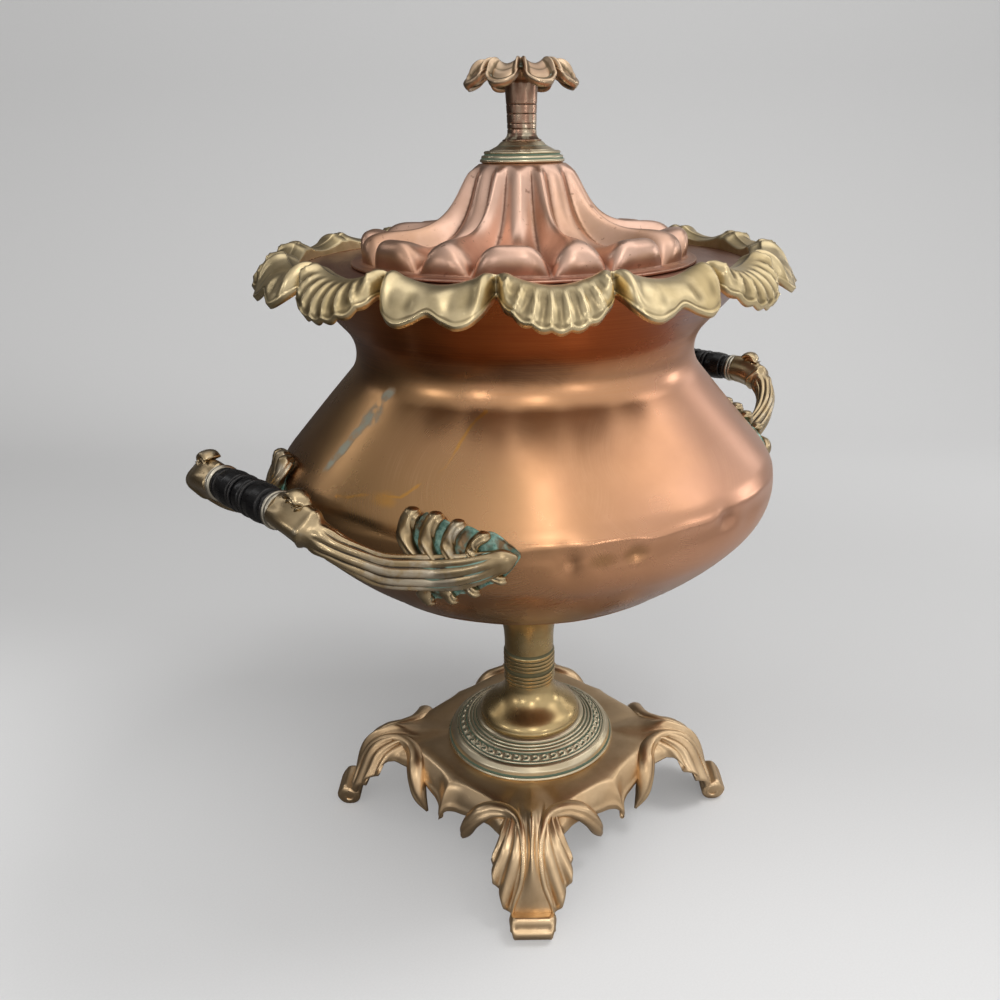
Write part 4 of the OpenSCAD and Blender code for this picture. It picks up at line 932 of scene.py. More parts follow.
def shelf_finish(look, place):
    """Fine lines round the axis, left by the brush."""
    far = times(from_axis(place), 1300.0)
    lines = add(place.id_data, "ShaderNodeCombineXYZ", {0: far}).outputs[0]
    brush = noise(vector("ADD", lines, vector("SCALE", place, scale=12.0)), 1.0, 2.0)
    tint(look, ranged(brush, 0.5, 0.7, 0.0, 0.35), 0.42, 0.22, 0.14)
    raised(look, "Height", brush)


dark_copper = metal("tarnished_copper", (0.34, 0.16, 0.105), (0.20, 0.095, 0.07),
                    (0.09, 0.05, 0.04), ridge=0.6, dirt=0.6, clouds=0.7, cloud_size=18.0, gloss=0.3,
                    pits=0.3, bump=0.05, marks_and_shade=shelf_finish)
shelf = outline([(mouth_r, 336.06, 0.3), (rim_r, 336.06, 0.3), (rim_r, shelf_z, 0.4),
                 (110, shelf_z, 0.1), (89.5, shelf_z, 0.1), (mouth_r, shelf_z, 0.5)], step=2.0)
fit(lathe("shelf", shelf), URN, "copper_dark", dark_copper, "rim_plate")


# ---- Frill -------------------------------------------------------------------------------------
# Cast brass border round the rim, sixteen lobes in turn: a ribbed shell, then two drooping petals
# with an arch between them. Its free edge is thick and worn bright.
lobes, frill_foot, crest_r, crest_z, crest_dip = 16, 113.1, 119.1, 347.04, 5.0
frill_t, frill_turn = 2.4, 6.0
around_lobe = [0, 0.05, 0.14, 0.26, 0.38, 0.50, 0.62, 0.74, 0.86, 0.95, 1]
wave_drop = [7.4, 11.0, 14.2, 14.8, 11.8, 8.6, 11.8, 14.8, 14.2, 11.0, 7.4]
wave_reach = [122.6, 128.4, 134.4, 136.9, 135.2, 133.0, 135.2, 136.9, 134.4, 128.4, 122.6]
shell_drop = [7.4, 9.6, 12.4, 13.8, 14.3, 14.5, 14.3, 13.8, 12.4, 9.6, 7.4]
shell_reach = [122.6, 127.4, 132.4, 135.6, 136.9, 137.2, 136.9, 135.6, 132.4, 127.4, 122.6]


def frill_lobe(columns, ribbed):
    """Grid of one lobe: columns run along the rim, rows round the closed section, from the foot's
    inner corner up the wall, over the crest, down to the edge and back underneath. A deep fold
    parts it from the next lobe, with a full shoulder on either side. A shell has seven hollow
    flutes with sharp ribs between them; a wave has two scooped petals with an arch between."""
    q = np.linspace(0, 1, columns, endpoint=False)[None]
    v = np.linspace(0, 1, 44)[:, None]
    near = np.minimum(q, 1 - q)
    drop = through(shell_drop if ribbed else wave_drop, around_lobe, q[0])[None]
    reach = through(shell_reach if ribbed else wave_reach, around_lobe, q[0])[None]
    down = np.pi / 2 * v
    shoulder = hump(near, 0.10, 0.055)
    fold = hump(near, 0, 0.030)
    if ribbed:
        phase = 7 * (q - 0.5) * (1 + 0.42 * (1 - v))
        channel = np.abs(np.cos(np.pi * phase))
        fades = eased(v, 0.10, 0.50) * eased(near, 0.035, 0.10)
        mark = (0.9 - 2.1 * channel ** 0.8) * fades
        scallop = 1.3 * (channel - 0.6) * eased(v, 0.70, 1.0) * eased(near, 0.03, 0.08)
    else:
        place = 0.5 + (q - 0.5) * (1 - 0.10 * (1 - v))
        petal = np.exp(-((np.abs(place - 0.5) - 0.245) / 0.125) ** 4)
        mark = -2.0 * petal * hump(v, 0.62, 0.30)
        mark = mark + 0.8 * hump(q, 0.5, 0.12) * eased(v, 0.0, 0.6)
        mark = mark - 0.6 * hump(q, 0.44, 0.10) * np.sin(np.pi * v) ** 2
        scallop = 0 * v
    r = crest_r + (reach - crest_r + scallop) * np.sin(down)
    z = crest_z - crest_dip * np.sin(np.pi * q) ** 1.4 - (drop + scallop) * (1 - np.cos(down))
    z = z + 0.7 * shoulder * (1 - v)
    tilt = np.arctan2(drop * np.sin(down), (reach - crest_r) * np.cos(down) + 2.0)
    lip = 0.7 * hump(v, 1, 0.055)
    out = mark + lip + 1.5 * shoulder * np.sin(np.pi * v) ** 0.8
    out = out - 3.4 * fold * eased(v, -0.15, 0.35)
    r, z = r + out * np.sin(tilt), z + out * np.cos(tilt)
    thick = frill_t + lip * 1.6
    under_r, under_z = r - thick * np.sin(tilt), z - thick * np.cos(tilt)
    edge_r = 0.5 * (r[-1:] + under_r[-1:]) + 0.55 * thick[-1:] * np.cos(tilt[-1:])
    edge_z = 0.5 * (z[-1:] + under_z[-1:]) - 0.55 * thick[-1:] * np.sin(tilt[-1:])
    climb = np.linspace(0, 1, 22)[:, None]
    wall_z = shelf_z + (z[:1] - shelf_z) * climb
    wall_r = frill_foot + 0.4 * climb + (r[:1] - frill_foot - 0.4) * eased(climb, 0.55, 1.0) ** 1.6
    keep = under_r > frill_foot + frill_t + 0.8
    under_r = np.where(keep, under_r, frill_foot + frill_t + 0.8)
    foot_r = np.concatenate([0 * q + frill_foot + frill_t + 0.6, 0 * q + frill_foot + frill_t])
    foot_z = np.concatenate([0 * q + shelf_z + 1.2, 0 * q + shelf_z])
    under_z = np.maximum(under_z, np.where(under_r < crest_r, shelf_z + 1.2, 0))
    r = np.concatenate([wall_r[:-1], r, edge_r, under_r[::-2], foot_r])
    z = np.concatenate([wall_z[:-1], z, edge_z, under_z[::-2], foot_z])
    return r, z, q


parts = [frill_lobe(56, k % 2 == 0) for k in range(lobes)]
frill_rr = np.concatenate([p[0] for p in parts], axis=1)
frill_zz = np.concatenate([p[1] for p in parts], axis=1)
turn = np.concatenate([(k + p[2][0]) * 2 * np.pi / lobes for k, p in enumerate(parts)])
turn = turn + np.radians(frill_turn - 180 / lobes)
frill = polar(frill_rr, turn, frill_zz)


def fold_shade_and_verdigris(look, place):
    """Painted shade, a dark brown laid in every hollow, and pale verdigris deep in the folds
    between the lobes.
    """
    bend = add(place.id_data, "ShaderNodeAttribute", attribute_name="bend").outputs["Fac"]
    # Painted shade: dark brown in the hollows, stronger the deeper the hollow.
    tint(look, faded(bend, -0.03, 0.1, 0.0, 0.68), 0.13, 0.095, 0.048)
    green = times(ranged(bend, 0.55, 1.1), ranged(noise(place, 90.0, 4.0), 0.36, 0.5))
    tint(look, green, 0.42, 0.55, 0.46)
    look["Metallic"] = less(look["Metallic"], green, keep=True)
    raised(look, "Roughness", times(green, 0.4))


olive_brass = metal("olive_brass", (0.72, 0.585, 0.35), (0.40, 0.30, 0.145), (0.085, 0.065, 0.036),
                    ridge=1.0, dirt=0.9, clouds=0.75, cloud_size=26.0, gloss=0.31, pits=0.4,
                    bump=0.09, marks_and_shade=fold_shade_and_verdigris)
fit(skin("frill", [frill], passes=2), URN, "brass_old", olive_brass, "rim_frill")


# ---- Lid ---------------------------------------------------------------------------------------
# Raised copper lid: sixteen lobes, wide and narrow in turn, swell at the foot and run up to the
# crown in flutes. A flat flange lies on the shelf, and a ring soldered under it finds the mouth.
LID = "lid"
flange_z, crown_r, crown_h, lobe_r, lobe_h, lid_r, lid_t = 339.04, 21.0, 45.6, 82.5, 15.5, 88.0, 1.2
lid_turn, wide_lobe, lid_hole = 41.0, 25.5, 2.7


def lid_line(kind, count):
    """Radius and height over the flange of the lid along a valley, or along the ridge of a narrow
    or a wide lobe. A wide lobe dips behind its nose."""
    crown, join, way, nose = {
        "valley": (((9, -4), (4, 7 - crown_h)), (-23, 4.0), ((-13, 2.2), (-7, 1.2)), (-2.6, 0.5)),
        "narrow": (((13, -1.5), (10, lobe_h + 4 - crown_h)), (-26, lobe_h + 0.6),
                   ((-13, lobe_h - 0.8), (3.0, lobe_h + 3.4)), (0, 0.6)),
        "wide": (((12, -2), (4, lobe_h - 2 - crown_h)), (-27, lobe_h - 6.0),
                 ((-17, lobe_h - 8.0), (5.0, lobe_h + 10.5)), (0.3, 0.6))}[kind]
    crown = [(crown_r + r, crown_h + z) for r, z in ((0, 0), *crown)]
    join, *way = [(lobe_r + r, z) for r, z in (join, *way, nose)]
    return np.concatenate([cubic(*crown, join, count), cubic(join, *way, count)[1:]])


def lid_shell_grid(columns, count):
    """Closed section of the lid for each turn: rounded ridges with rounded valleys between them.
    The wide ones are flat on top at the foot. The underside lies a sheet below."""
    valley = lid_line("valley", count)
    sections, turns = [], []
    for k in range(lobes):
        wide = k % 2 == 0
        ridge = lid_line("wide" if wide else "narrow", count)
        start = (k // 2) * 45 + (0 if wide else wide_lobe)
        span = wide_lobe if wide else 45 - wide_lobe
        spread = np.linspace(0, 1, len(ridge))
        full = (0.46 if wide else 0.50) - (0.08 if wide else 0.0) * eased(spread, 0.45, 0.85)
        for j in range(columns):
            q = j / columns
            flank = np.clip((min(q, 1 - q) - 0.015) / (full - 0.015), 0, 1)
            foot = eased(spread, 0.35, 0.85)
            mixing = (1 - foot) * np.sin(np.pi / 2 * flank) ** 1.7
            mixing = mixing + foot * (1 - (1 - flank) ** 2.3) ** 0.62
            line = valley + (ridge - valley) * (mixing * eased(spread, -0.02, 0.12))[:, None]
            sections.append(line)
            turns.append(start + q * span)
    top = np.stack(sections, axis=1)
    turn = np.radians(np.array(turns) + lid_turn - wide_lobe / 2)
    way = unit(np.gradient(top, axis=0))
    normal = np.stack([-way[..., 1], way[..., 0]], axis=-1)
    under = top - normal * lid_t
    under[..., 1] = np.maximum(under[..., 1], -lid_t)
    flat = np.ones((1, top.shape[1], 1))
    dome, rim, back = ([flat * np.array(point) for point in points] for points in (
        [(lid_hole, crown_h), (crown_r - 3, crown_h), (crown_r - 1, crown_h)],
        [(lobe_r + 1.4, 0.15), (lobe_r + 2.2, 0.0), (lid_r - 1.2, 0.0), (lid_r - 0.5, 0.25),
         (lid_r - 0.1, 0.1), (lid_r, -0.4), (lid_r - 0.1, -1.0), (lid_r - 0.6, -lid_t),
         (lobe_r + 1, -lid_t)],
        [(crown_r - 1, crown_h - lid_t), (lid_hole, crown_h - lid_t)]))
    section = np.concatenate(dome + [top[1:]] + rim + [under[-2:1:-2]] + back)
    return polar(section[..., 0], turn, section[..., 1] + flange_z)


def height_at(place):
    """Height over the floor."""
    return add(place.id_data, "ShaderNodeSeparateXYZ", {0: place}).outputs["Z"]


def lid_finish(look, place):
    """Brown in the valleys and on the slopes up to the crown, with small dark specks."""
    low = faded(height_at(place), 0.3395, 0.3475, 1.0, 0.0)
    tint(look, times(low, 0.55), 0.30, 0.12, 0.075)
    tint(look, ranged(noise(place, 16.0, 5.0, 0.6), 0.5, 0.68, 0.0, 0.4), 0.46, 0.25, 0.115)
    specks = ranged(noise(place, 300.0, 3.0), 0.66, 0.72)
    tint(look, times(specks, 0.5), 0.14, 0.06, 0.04)
    look["Height"] = less(look["Height"], times(specks, 0.4))


lid_copper = metal("lid_copper", (0.72, 0.475, 0.365), (0.48, 0.275, 0.185), (0.15, 0.068, 0.042),
                   ridge=0.6, dirt=0.9, clouds=0.6, cloud_size=17.0, gloss=0.34, pits=0.35,
                   bump=0.05, marks_and_shade=lid_finish)
fit(skin("lid", [lid_shell_grid(30, 44)], passes=2), LID, "copper_lid", lid_copper, "lid_shell")

bezel_r, bezel_low, bezel_top = 78.2, 324.34, 338.3
bezel = outline([(bezel_r - 1.2, bezel_low, 0.3), (bezel_r, bezel_low, 0.4), (bezel_r, bezel_top),
                 (bezel_r - 1.2, bezel_top)], step=2.5)
fit(lathe("lid_ring", bezel), LID, "copper_lid", lid_copper, "lid_bezel")


# ---- Finial ------------------------------------------------------------------------------------
# Turned brass collar and stem on the crown, and a cast flower of eight drooping petals on top. A
# rod holds the three with a washer and a nut under the crown.
crown_z, flower_z, flower_r, flower_h = 384.64, 421.64, 28.5, 10.0
cap = outline([(lid_hole, crown_z + 0.05), (19.8, crown_z + 0.05, 0.2), (21.2, crown_z + 0.8, 0.6),
               (21.0, crown_z + 1.7, 0.4), (20.4, crown_z + 2.0, 0.2), (20.3, crown_z + 3.4, 0.8),
               (18.9, crown_z + 3.8, 0.2), (18.7, crown_z + 4.2, 0.2), (19.2, crown_z + 4.9, 0.3),
               (18.6, crown_z + 5.6, 0.4), (17.0, crown_z + 5.8, 0.2), (16.4, crown_z + 5.5, 0.2),
               (15.9, crown_z + 6.2, 0.2), (12.4, crown_z + 7.9, 1.5), (10.4, crown_z + 9.8, 0.5),
               (10.0, crown_z + 10.0, 0.1), (lid_hole, crown_z + 10.0)], step=0.6)
fit(lathe("finial_cap", cap), LID, "brass_old", turned_brass, "lid_collar")

foot_z, stalk_r, stalk_h = crown_z + 10, 7.15, 27.0


def stalk_line():
    """Outline of the stem: a flared foot, a shaft that widens under the flower, and four fine
    turned grooves."""
    made = [(lid_hole, foot_z), (9.6, foot_z, 0.1), (9.8, foot_z + 0.6, 0.3),
            (8.6, foot_z + 1.1, 0.4), (7.6, foot_z + 2.2, 0.8), (7.2, foot_z + 3.4, 0.6)]
    for height, groove in ((5.6, 0.35), (8.0, 0.2), (12.4, 0.25), (16.6, 0.25)):
        r = stalk_r + 1.1 * (height / stalk_h) ** 2.2
        made += [(r, foot_z + height - 0.35, 0.15), (r - groove, foot_z + height, 0.15),
                 (r, foot_z + height + 0.35, 0.15)]
    made += [(stalk_r + 1.1 * u ** 2.2, foot_z + stalk_h * u) for u in np.linspace(0.68, 0.995, 8)]
    return outline(made + [(lid_hole, foot_z + 26.9)], step=0.7)


def stalk_finish(look, place):
    """Brown lacquer that has rubbed off the lower shaft and left pale lengthwise scratches."""
    lines = noise(vector("MULTIPLY", place, (420.0, 420.0, 130.0)), 1.0, 3.0)
    bare = times(ranged(lines, 0.44, 0.6), faded(height_at(place), 0.397, 0.412, 1.0, 0.25))
    tint(look, times(bare, 0.7), 0.60, 0.54, 0.40)


stalk_metal = metal("brown_brass", (0.36, 0.215, 0.15), (0.22, 0.125, 0.085), (0.05, 0.03, 0.02),
                    ridge=0.6, dirt=0.9, clouds=0.7, cloud_size=70.0, gloss=0.27, pits=0.4,
                    bump=0.06, marks_and_shade=stalk_finish)
fit(lathe("finial_stalk", stalk_line(), 128), LID, "brass_old", stalk_metal, "finial_stem")


def petal_grid(columns, petals):
    """Closed section of the flower for each turn: a petal leaves the cup's rim, arches over and
    hangs down in a U. It is scooped out inside a thick rolled edge, and a deep fold parts it from
    the next."""
    q = (np.arange(columns * petals) % columns / columns)[None]
    v = np.linspace(0, 1, 40)[:, None]
    near = np.minimum(q, 1 - q)
    full = np.sin(np.pi * np.clip((q - 0.04) / 0.92, 0, 1)) ** 0.45
    crest, top = 16.6, flower_z + flower_h
    crest_z = top - 2.8 * np.sin(np.pi * q) ** 1.3
    edge = 19.8 + (flower_r - 19.8) * full
    low = top - 4.2 - 8.4 * full
    down = np.pi / 2 * v
    r = crest + (edge - crest) * np.sin(down) ** 0.85
    z = crest_z - (crest_z - low) * (1 - np.cos(down))
    inside = eased(near, 0.13, 0.22) * (1 - eased(v, 0.74, 0.90)) * eased(v, -0.1, 0.35)
    scoop = -2.5 * inside
    shoulder = 0.9 * hump(near, 0.11, 0.045) * np.sin(np.pi * np.clip(v, 0, 0.6)) ** 0.7
    fold = -3.4 * (1 - eased(near, 0.02, 0.065)) * eased(v, -0.1, 0.25)
    lip = 0.7 * hump(v, 0.94, 0.08)
    tilt = np.arctan2((crest_z - low) * np.sin(down), (edge - crest) * np.cos(down) + 1.5)
    out = scoop + shoulder + fold + lip
    r, z = r + out * np.sin(tilt), z + out * np.cos(tilt)
    inner = np.linspace(0.04, 0.94, 14)[:, None]
    cup_r = crest * inner + 0 * q
    cup_z = top - 4.6 + 2.0 * inner ** 3 + (crest_z - top + 2.6) * inner ** 4
    cup_z = cup_z + 1.1 * hump(inner, 0, 0.2)
    thick = 1.7 + 0.9 * hump(v, 1, 0.12)
    back = slice(None, 5, -3)
    back_r = (r - thick * np.sin(tilt))[back]
    back_z = (z - thick * np.cos(tilt))[back]
    edge_r = 0.5 * (r[-1:] + back_r[:1]) + 0.5 * thick[-1:] * np.cos(tilt[-1:])
    edge_z = 0.5 * (z[-1:] + back_z[:1]) - 0.5 * thick[-1:] * np.sin(tilt[-1:])
    rows_r = [cup_r, r, edge_r, back_r, 0 * q + 12.0, 0 * q + 9.3, 0 * q + 1.2]
    rows_z = [cup_z, z, edge_z, back_z, 0 * q + flower_z + 2.4, 0 * q + flower_z, 0 * q + flower_z]
    r, z = np.concatenate(rows_r), np.concatenate(rows_z)
    turn = np.arange(columns * petals) / (columns * petals) * 2 * np.pi
    return polar(r, turn, z)


rose_brass = metal("rose_brass", (0.58, 0.43, 0.29), (0.34, 0.21, 0.14), (0.15, 0.088, 0.058),
                   ridge=1.0, dirt=0.95, clouds=0.65, cloud_size=45.0, gloss=0.31, pits=0.4,
                   bump=0.07, marks_and_shade=fold_shade_and_verdigris)
fit(skin("flower", [petal_grid(48, 8)], loop=(False, True), passes=2), LID, "brass_old", rose_brass,
    "finial_flower")


# ---- Arms --------------------------------------------------------------------------------------
# Four cast brass arms. Each leaves a ferrule with a scrolled elbow, runs down in sheaths of
# acanthus, and spreads into a lobed leaf riveted to the belly. Verdigris fills the folds.
grip_x, grip_z, socket_y, leaf_tip = 168.0, 254.54, 26.0, 42.5


def wall_at(height):
    """Radius and slope of the bowl's wall at heights from the bottom to the neck."""
    line, normal = bowl_line(600)
    keep = slice(20, 470)  # the rows where the height rises all the way
    r = np.interp(height, line[keep, 1], line[keep, 0])
    tilt = np.interp(height, line[keep, 1], np.arctan2(normal[keep, 1], normal[keep, 0]))
    return r, tilt


def near_wall(turn, height, out):
    """Point at a turn in degrees and a height, out from the bowl's wall along its normal."""
    r, tilt = wall_at(height)
    turn = np.radians(turn)
    return polar(r + out * np.cos(tilt), turn, height + out * np.sin(tilt))


def arm_line(count):
    """Middle line of an arm: from the ferrule out and down in a bow, along the bowl as the leaf's
    spine, to its blunt tip. With it go the half sizes beside and above it."""
    root = [near_wall(*p) for p in ((27.0, 223.6, 4.2), (31.0, 224.2, 3.6), (35.0, 226.0, 3.0),
                                    (39.0, 228.8, 2.6), (41.6, 230.6, 2.2), (43.2, 231.3, 1.6))]
    bow = [(grip_x, socket_y + 0.1, grip_z), (grip_x, socket_y + 8, grip_z), (167.4, 41.4, 252.2),
           (163.0, 51.0, 246.0), (154.2, 57.6, 238.0), (143.4, 60.0, 230.2)]
    knots = [0, 0.07, 0.14, 0.24, 0.36, 0.48, 0.60, 0.69, 0.79, 0.89, 0.96, 1]
    t = np.linspace(0, 1, count)
    line = through(bow + root, knots, t)
    for _ in range(40):
        line[1:-1] = 0.5 * line[1:-1] + 0.25 * (line[:-2] + line[2:])
    beside = through([7.9, 8.3, 7.8, 5.8, 5.2, 5.0, 4.8, 4.6, 4.4, 4.0, 3.2, 0.8], knots, t)
    above = through([7.9, 8.5, 8.3, 6.1, 6.2, 7.0, 7.8, 7.9, 7.2, 6.0, 4.5, 0.8], knots, t)
    return t, line, np.column_stack([beside, above])


def arm_bar():
    """Bar of an arm. A squared sleeve follows the ferrule and steps down to the bow; from there
    rounded ribs with narrow grooves between them run to the leaf and fade out before its tip."""
    t, line, size = arm_line(150)
    around = 72
    turn = full_turn(around)[None]
    t = t[:, None]
    ribbed = eased(t, 0.17, 0.27) * (1 - eased(t, 0.80, 0.93))
    wave = np.abs(np.sin(4.5 * turn + 2.2 * t + 0.3))
    shape = 1 + ribbed * (0.30 * wave ** 0.55 - 0.22)
    squared = (1 - eased(t, 0.13, 0.20))
    shape = shape + squared * (0.10 * np.cos(4 * turn + 0.4) - 0.02)
    step = 0.12 * hump(t, 0.155, 0.010) - 0.08 * hump(t, 0.185, 0.016)
    nicks = 0.06 * np.sin(60 * t + 3 * turn) * hump(t, 0.215, 0.035)
    return swept(line, size, around, shape + step + nicks)


def elbow_scroll():
    """Volute on top of the sleeve: a flat band that rolls up in one and a half turns."""
    wind = np.linspace(0, 1, 70)
    spiral = 4.6 * (1 - 0.72 * wind)
    angle = 2.6 - wind * 2 * np.pi * 1.5
    middle = np.array([grip_x - 1.0, socket_y + 11.0, grip_z + 6.6])
    line = middle + np.column_stack([1.2 * wind, spiral * np.cos(angle), spiral * np.sin(angle)])
    size = 1.7 * (1 - 0.35 * wind)
    return swept(line, np.column_stack([size * 2.6, size]), 16)


def leaf_finger(root, middle, tip, thick, hook):
    """One lobe of the leaf: a rounded pleat that leaves the spine, bends towards the tip and rolls
    up at its end, with a hollow along its face. Points are turn, height and distance from the
    bowl."""
    t = np.linspace(0, 1, 46)
    root, middle, tip = (np.array(p) for p in (root, middle, tip))
    s = t[:, None]
    path = (1 - s) ** 2 * root + 2 * s * (1 - s) * (2 * middle - 0.5 * (root + tip)) + s * s * tip
    path[:, 2] = path[:, 2] + hook * t ** 2 * (1 - eased(t, 0.86, 1.0))
    line = near_wall(path[:, 0], path[:, 1], path[:, 2])
    size = thick * (0.75 + 0.35 * t) * np.sqrt(np.clip((1 - t) / 0.14, 0.01, 1))
    around = 28
    turn = full_turn(around)[None]
    face = 1 - 0.22 * hump(np.abs((turn + np.pi) % (2 * np.pi) - np.pi), 1.25, 0.30)
    return swept(line, np.column_stack([size * 1.3, size * 0.9]), around, face + 0 * t[:, None])


def leaf_ground():
    """Thin ground of the leaf, which shows green between the lobes: its edge runs a little outside
    them. u runs from root to tip and s across."""
    u = np.linspace(0, 1, 110)[:, None]
    s = np.linspace(-1, 1, 49)[None]
    spine = 223.2 - 1.0 * np.sin(np.pi * np.minimum(1, 1.3 * u)) + 8.6 * u ** 2
    upper = through([8, 20.5, 20.5, 17.0, 12.0, 5.6, 0.8], [0, 0.10, 0.34, 0.56, 0.78, 0.93,
                                                            1], u[:, 0])
    lower = through([8, 17.5, 15.5, 12.0, 9.0, 4.6, 0.8], [0, 0.12, 0.38, 0.62, 0.82, 0.94,
                                                           1], u[:, 0])
    lobe = np.abs(np.sin(np.pi * (np.where(s > 0, 4.3, 4.0) * u + 0.1)))
    width = np.where(s > 0, upper[:, None], lower[:, None]) * (0.90 + 0.10 * lobe)
    height = spine + s * width
    turn = 24.0 + (leaf_tip + 1.2 - 24.0) * u - 2.6 * np.abs(s) * (1 - u)
    lift = 0.9 + 0.5 * hump(np.abs(s), 0.94, 0.05)
    lift = lift * np.clip((1 - np.abs(s)) / 0.02, 0.25, 1)
    top = near_wall(turn, height, lift)
    under = near_wall(turn[:, ::-1] + 0 * height, height[:, ::-1], 0.15 + 0 * height)[:, ::4]
    return np.concatenate([top, under], axis=1)


upper_lobes = [((26.2, 226.0, 3.4), (22.2, 236.5, 2.8), (23.6, 245.6, 2.0), 3.5, 3.4),
               ((28.6, 227, 3.2), (26.4, 236.8, 2.6), (28.6, 245.0, 2.0), 3.3, 3.2),
               ((32.0, 228, 3.0), (30.6, 236.4, 2.4), (33.2, 243.0, 1.8), 3.1, 2.8),
               ((36.0, 229, 2.6), (35.2, 235.2, 2.2), (38.2, 239.4, 1.6), 2.9, 2.0)]
lower_lobes = [((28.0, 220.5, 3.0), (24.8, 212.5, 2.2), (25.8, 205.6, 1.6), 2.9, 2.0),
               ((31.0, 221.0, 2.8), (29.4, 214.5, 2.0), (31.2, 208.8, 1.5), 2.8, 1.8),
               ((34.6, 222.6, 2.6), (33.8, 218.2, 2.0), (36.1, 214.6, 1.4), 2.7, 1.6),
               ((37.6, 225.0, 2.4), (38.8, 222.8, 1.8), (41.0, 221.7, 1.3), 2.5, 1.2)]


def arm_grids():
    """All parts of one arm but the leaf's ground, on the +X and +Y side."""
    return [arm_bar(), elbow_scroll()] + [leaf_finger(*lobe) for lobe in upper_lobes + lower_lobes]


def arm_finish(look, place):
    """Verdigris lies in the folds of the leaf. The bow is pale and dull where hands hold it."""
    leaf = ranged(from_axis(place), 0.138, 0.146, 1.0, 0.0)
    bloom = times(look["Hollow"], ranged(noise(place, 75.0, 4.0), 0.42, 0.52))
    green = times(ranged(bloom, 0.35, 0.8), leaf)
    pale = times(ranged(noise(place, 34.0, 5.0, 0.65), 0.54, 0.62),
                 ranged(look["Hollow"], 0.1, 0.5, 0.55, 0.0))
    tint(look, pale, 0.55, 0.51, 0.43)
    raised(look, "Roughness", times(pale, 0.1))
    tint(look, green, 0.27, 0.44, 0.36)
    look["Metallic"] = less(look["Metallic"], times(green, 0.9), keep=True)
    raised(look, "Roughness", times(green, 0.5))


def ground_finish(look, place):
    """Thick verdigris, pale in the middle of its patches, over brown metal."""
    crust = noise(place, 260.0, 4.0, 0.7)
    colour = mixed(ranged(crust, 0.38, 0.62), (0.07, 0.19, 0.15, 1), (0.33, 0.52, 0.44, 1))
    green = ranged(noise(place, 85.0, 4.0, 0.6), 0.40, 0.52)
    look["Color"] = mixed(green, look["Color"], colour)
    look["Metallic"] = less(look["Metallic"], times(green, 0.95), keep=True)
    raised(look, "Roughness", times(green, 0.5))
    raised(look, "Height", times(crust, 1.6))


arm_brass = metal("arm_brass", (0.47, 0.36, 0.215), (0.24, 0.16, 0.075), (0.05, 0.036, 0.024),
                  ridge=1.0, dirt=1.0, clouds=0.7, cloud_size=32.0, gloss=0.28, pits=0.5, bump=0.09,
                  marks_and_shade=arm_finish)
leaf_metal = metal("verdigris", (0.20, 0.13, 0.07), (0.12, 0.08, 0.045), (0.05, 0.04, 0.03),
                   ridge=0.5, dirt=0.6, clouds=0.5, cloud_size=40.0, gloss=0.35, pits=0.5,
                   bump=0.12, marks_and_shade=ground_finish)
for name, way in (("left_arm_back", (1, 1, 1)), ("left_arm_front", (1, -1, 1)),
                  ("right_arm_back", (-1, 1, 1)), ("right_arm_front", (-1, -1, 1))):
    grids = [grid * way for grid in arm_grids()]
    fit(skin(name.replace("arm", "branch"), grids, loop=(False, True), passes=2), URN, "brass_arm",
        arm_brass, name)
    fit(skin(name.replace("arm", "leaf"), [leaf_ground() * way], loop=(False, True), passes=2), URN,
        "brass_arm", leaf_metal)


# ---- Grips -------------------------------------------------------------------------------------
# Two grips of blackened wood, turned with rings at the ends and in the middle. A pale brass ferrule
# closes each end, and an iron rod runs through from arm to arm.
grip_half, rod_hole = 22.0, 2.7

# Shellac over black stain: grain along the wood, rubbed brown on the beads.
ebony, tree = material("ebonised_wood")
bend = add(tree, "ShaderNodeAttribute", attribute_name="bend").outputs["Fac"]
grain = noise(vector("MULTIPLY", here(tree), (900.0, 60.0, 900.0)), 1.0, 4.0, 0.6)
tone = mixed(ranged(grain, 0.4, 0.7), (0.0025, 0.0025, 0.003, 1), (0.007, 0.0065, 0.0065, 1))
rubbed = times(ranged(bend, -0.8, -0.4, 1.0, 0.0), 0.25)
surface(tree, mixed(rubbed, tone, (0.07, 0.06, 0.055, 1)), ranged(grain, 0.3, 0.75, 0.22, 0.36),
        grain, 0.06, **{"Specular IOR Level": 0.3})

half_side = [(8.3, 0.0), (8.2, 2.2, 1.0), (6.2, 3.0, 0.3), (6.2, 3.4, 0.2), (8.6, 3.9, 0.5),
             (8.6, 5.3, 0.6), (6.4, 6.0, 0.2), (6.4, 6.4, 0.2), (8.2, 6.9, 0.8), (8.7, 11.8, 4.0),
             (8.2, 17.2, 0.8), (6.4, 17.9, 0.2), (6.4, 18.3, 0.2), (7.6, 18.8, 0.5),
             (7.8, 20.6, 0.6), (7.0, 21.3, 0.3), (7.0, grip_half)]
mirrored = [(r, -y, *rest) for r, y, *rest in half_side[:0:-1]]
grip_line = outline([(rod_hole, -grip_half)] + mirrored + half_side + [(rod_hole, grip_half)],
                    step=0.7)
ferrule = outline([(rod_hole, 0.1), (7.6, 0.1, 0.2), (8.5, 0.7, 0.5), (8.5, 1.7, 0.5),
                   (7.7, 2.1, 0.2), (7.7, 2.5, 0.2), (8.2, 3.0, 0.4), (7.8, 3.9, 0.3),
                   (rod_hole, 3.9)], step=0.5)
pale_brass = metal("pale_brass", (0.48, 0.44, 0.36), (0.34, 0.29, 0.21), (0.10, 0.09, 0.075),
                   ridge=0.9, dirt=0.9, clouds=0.6, cloud_size=60.0, gloss=0.36, pits=0.6,
                   bump=0.10)
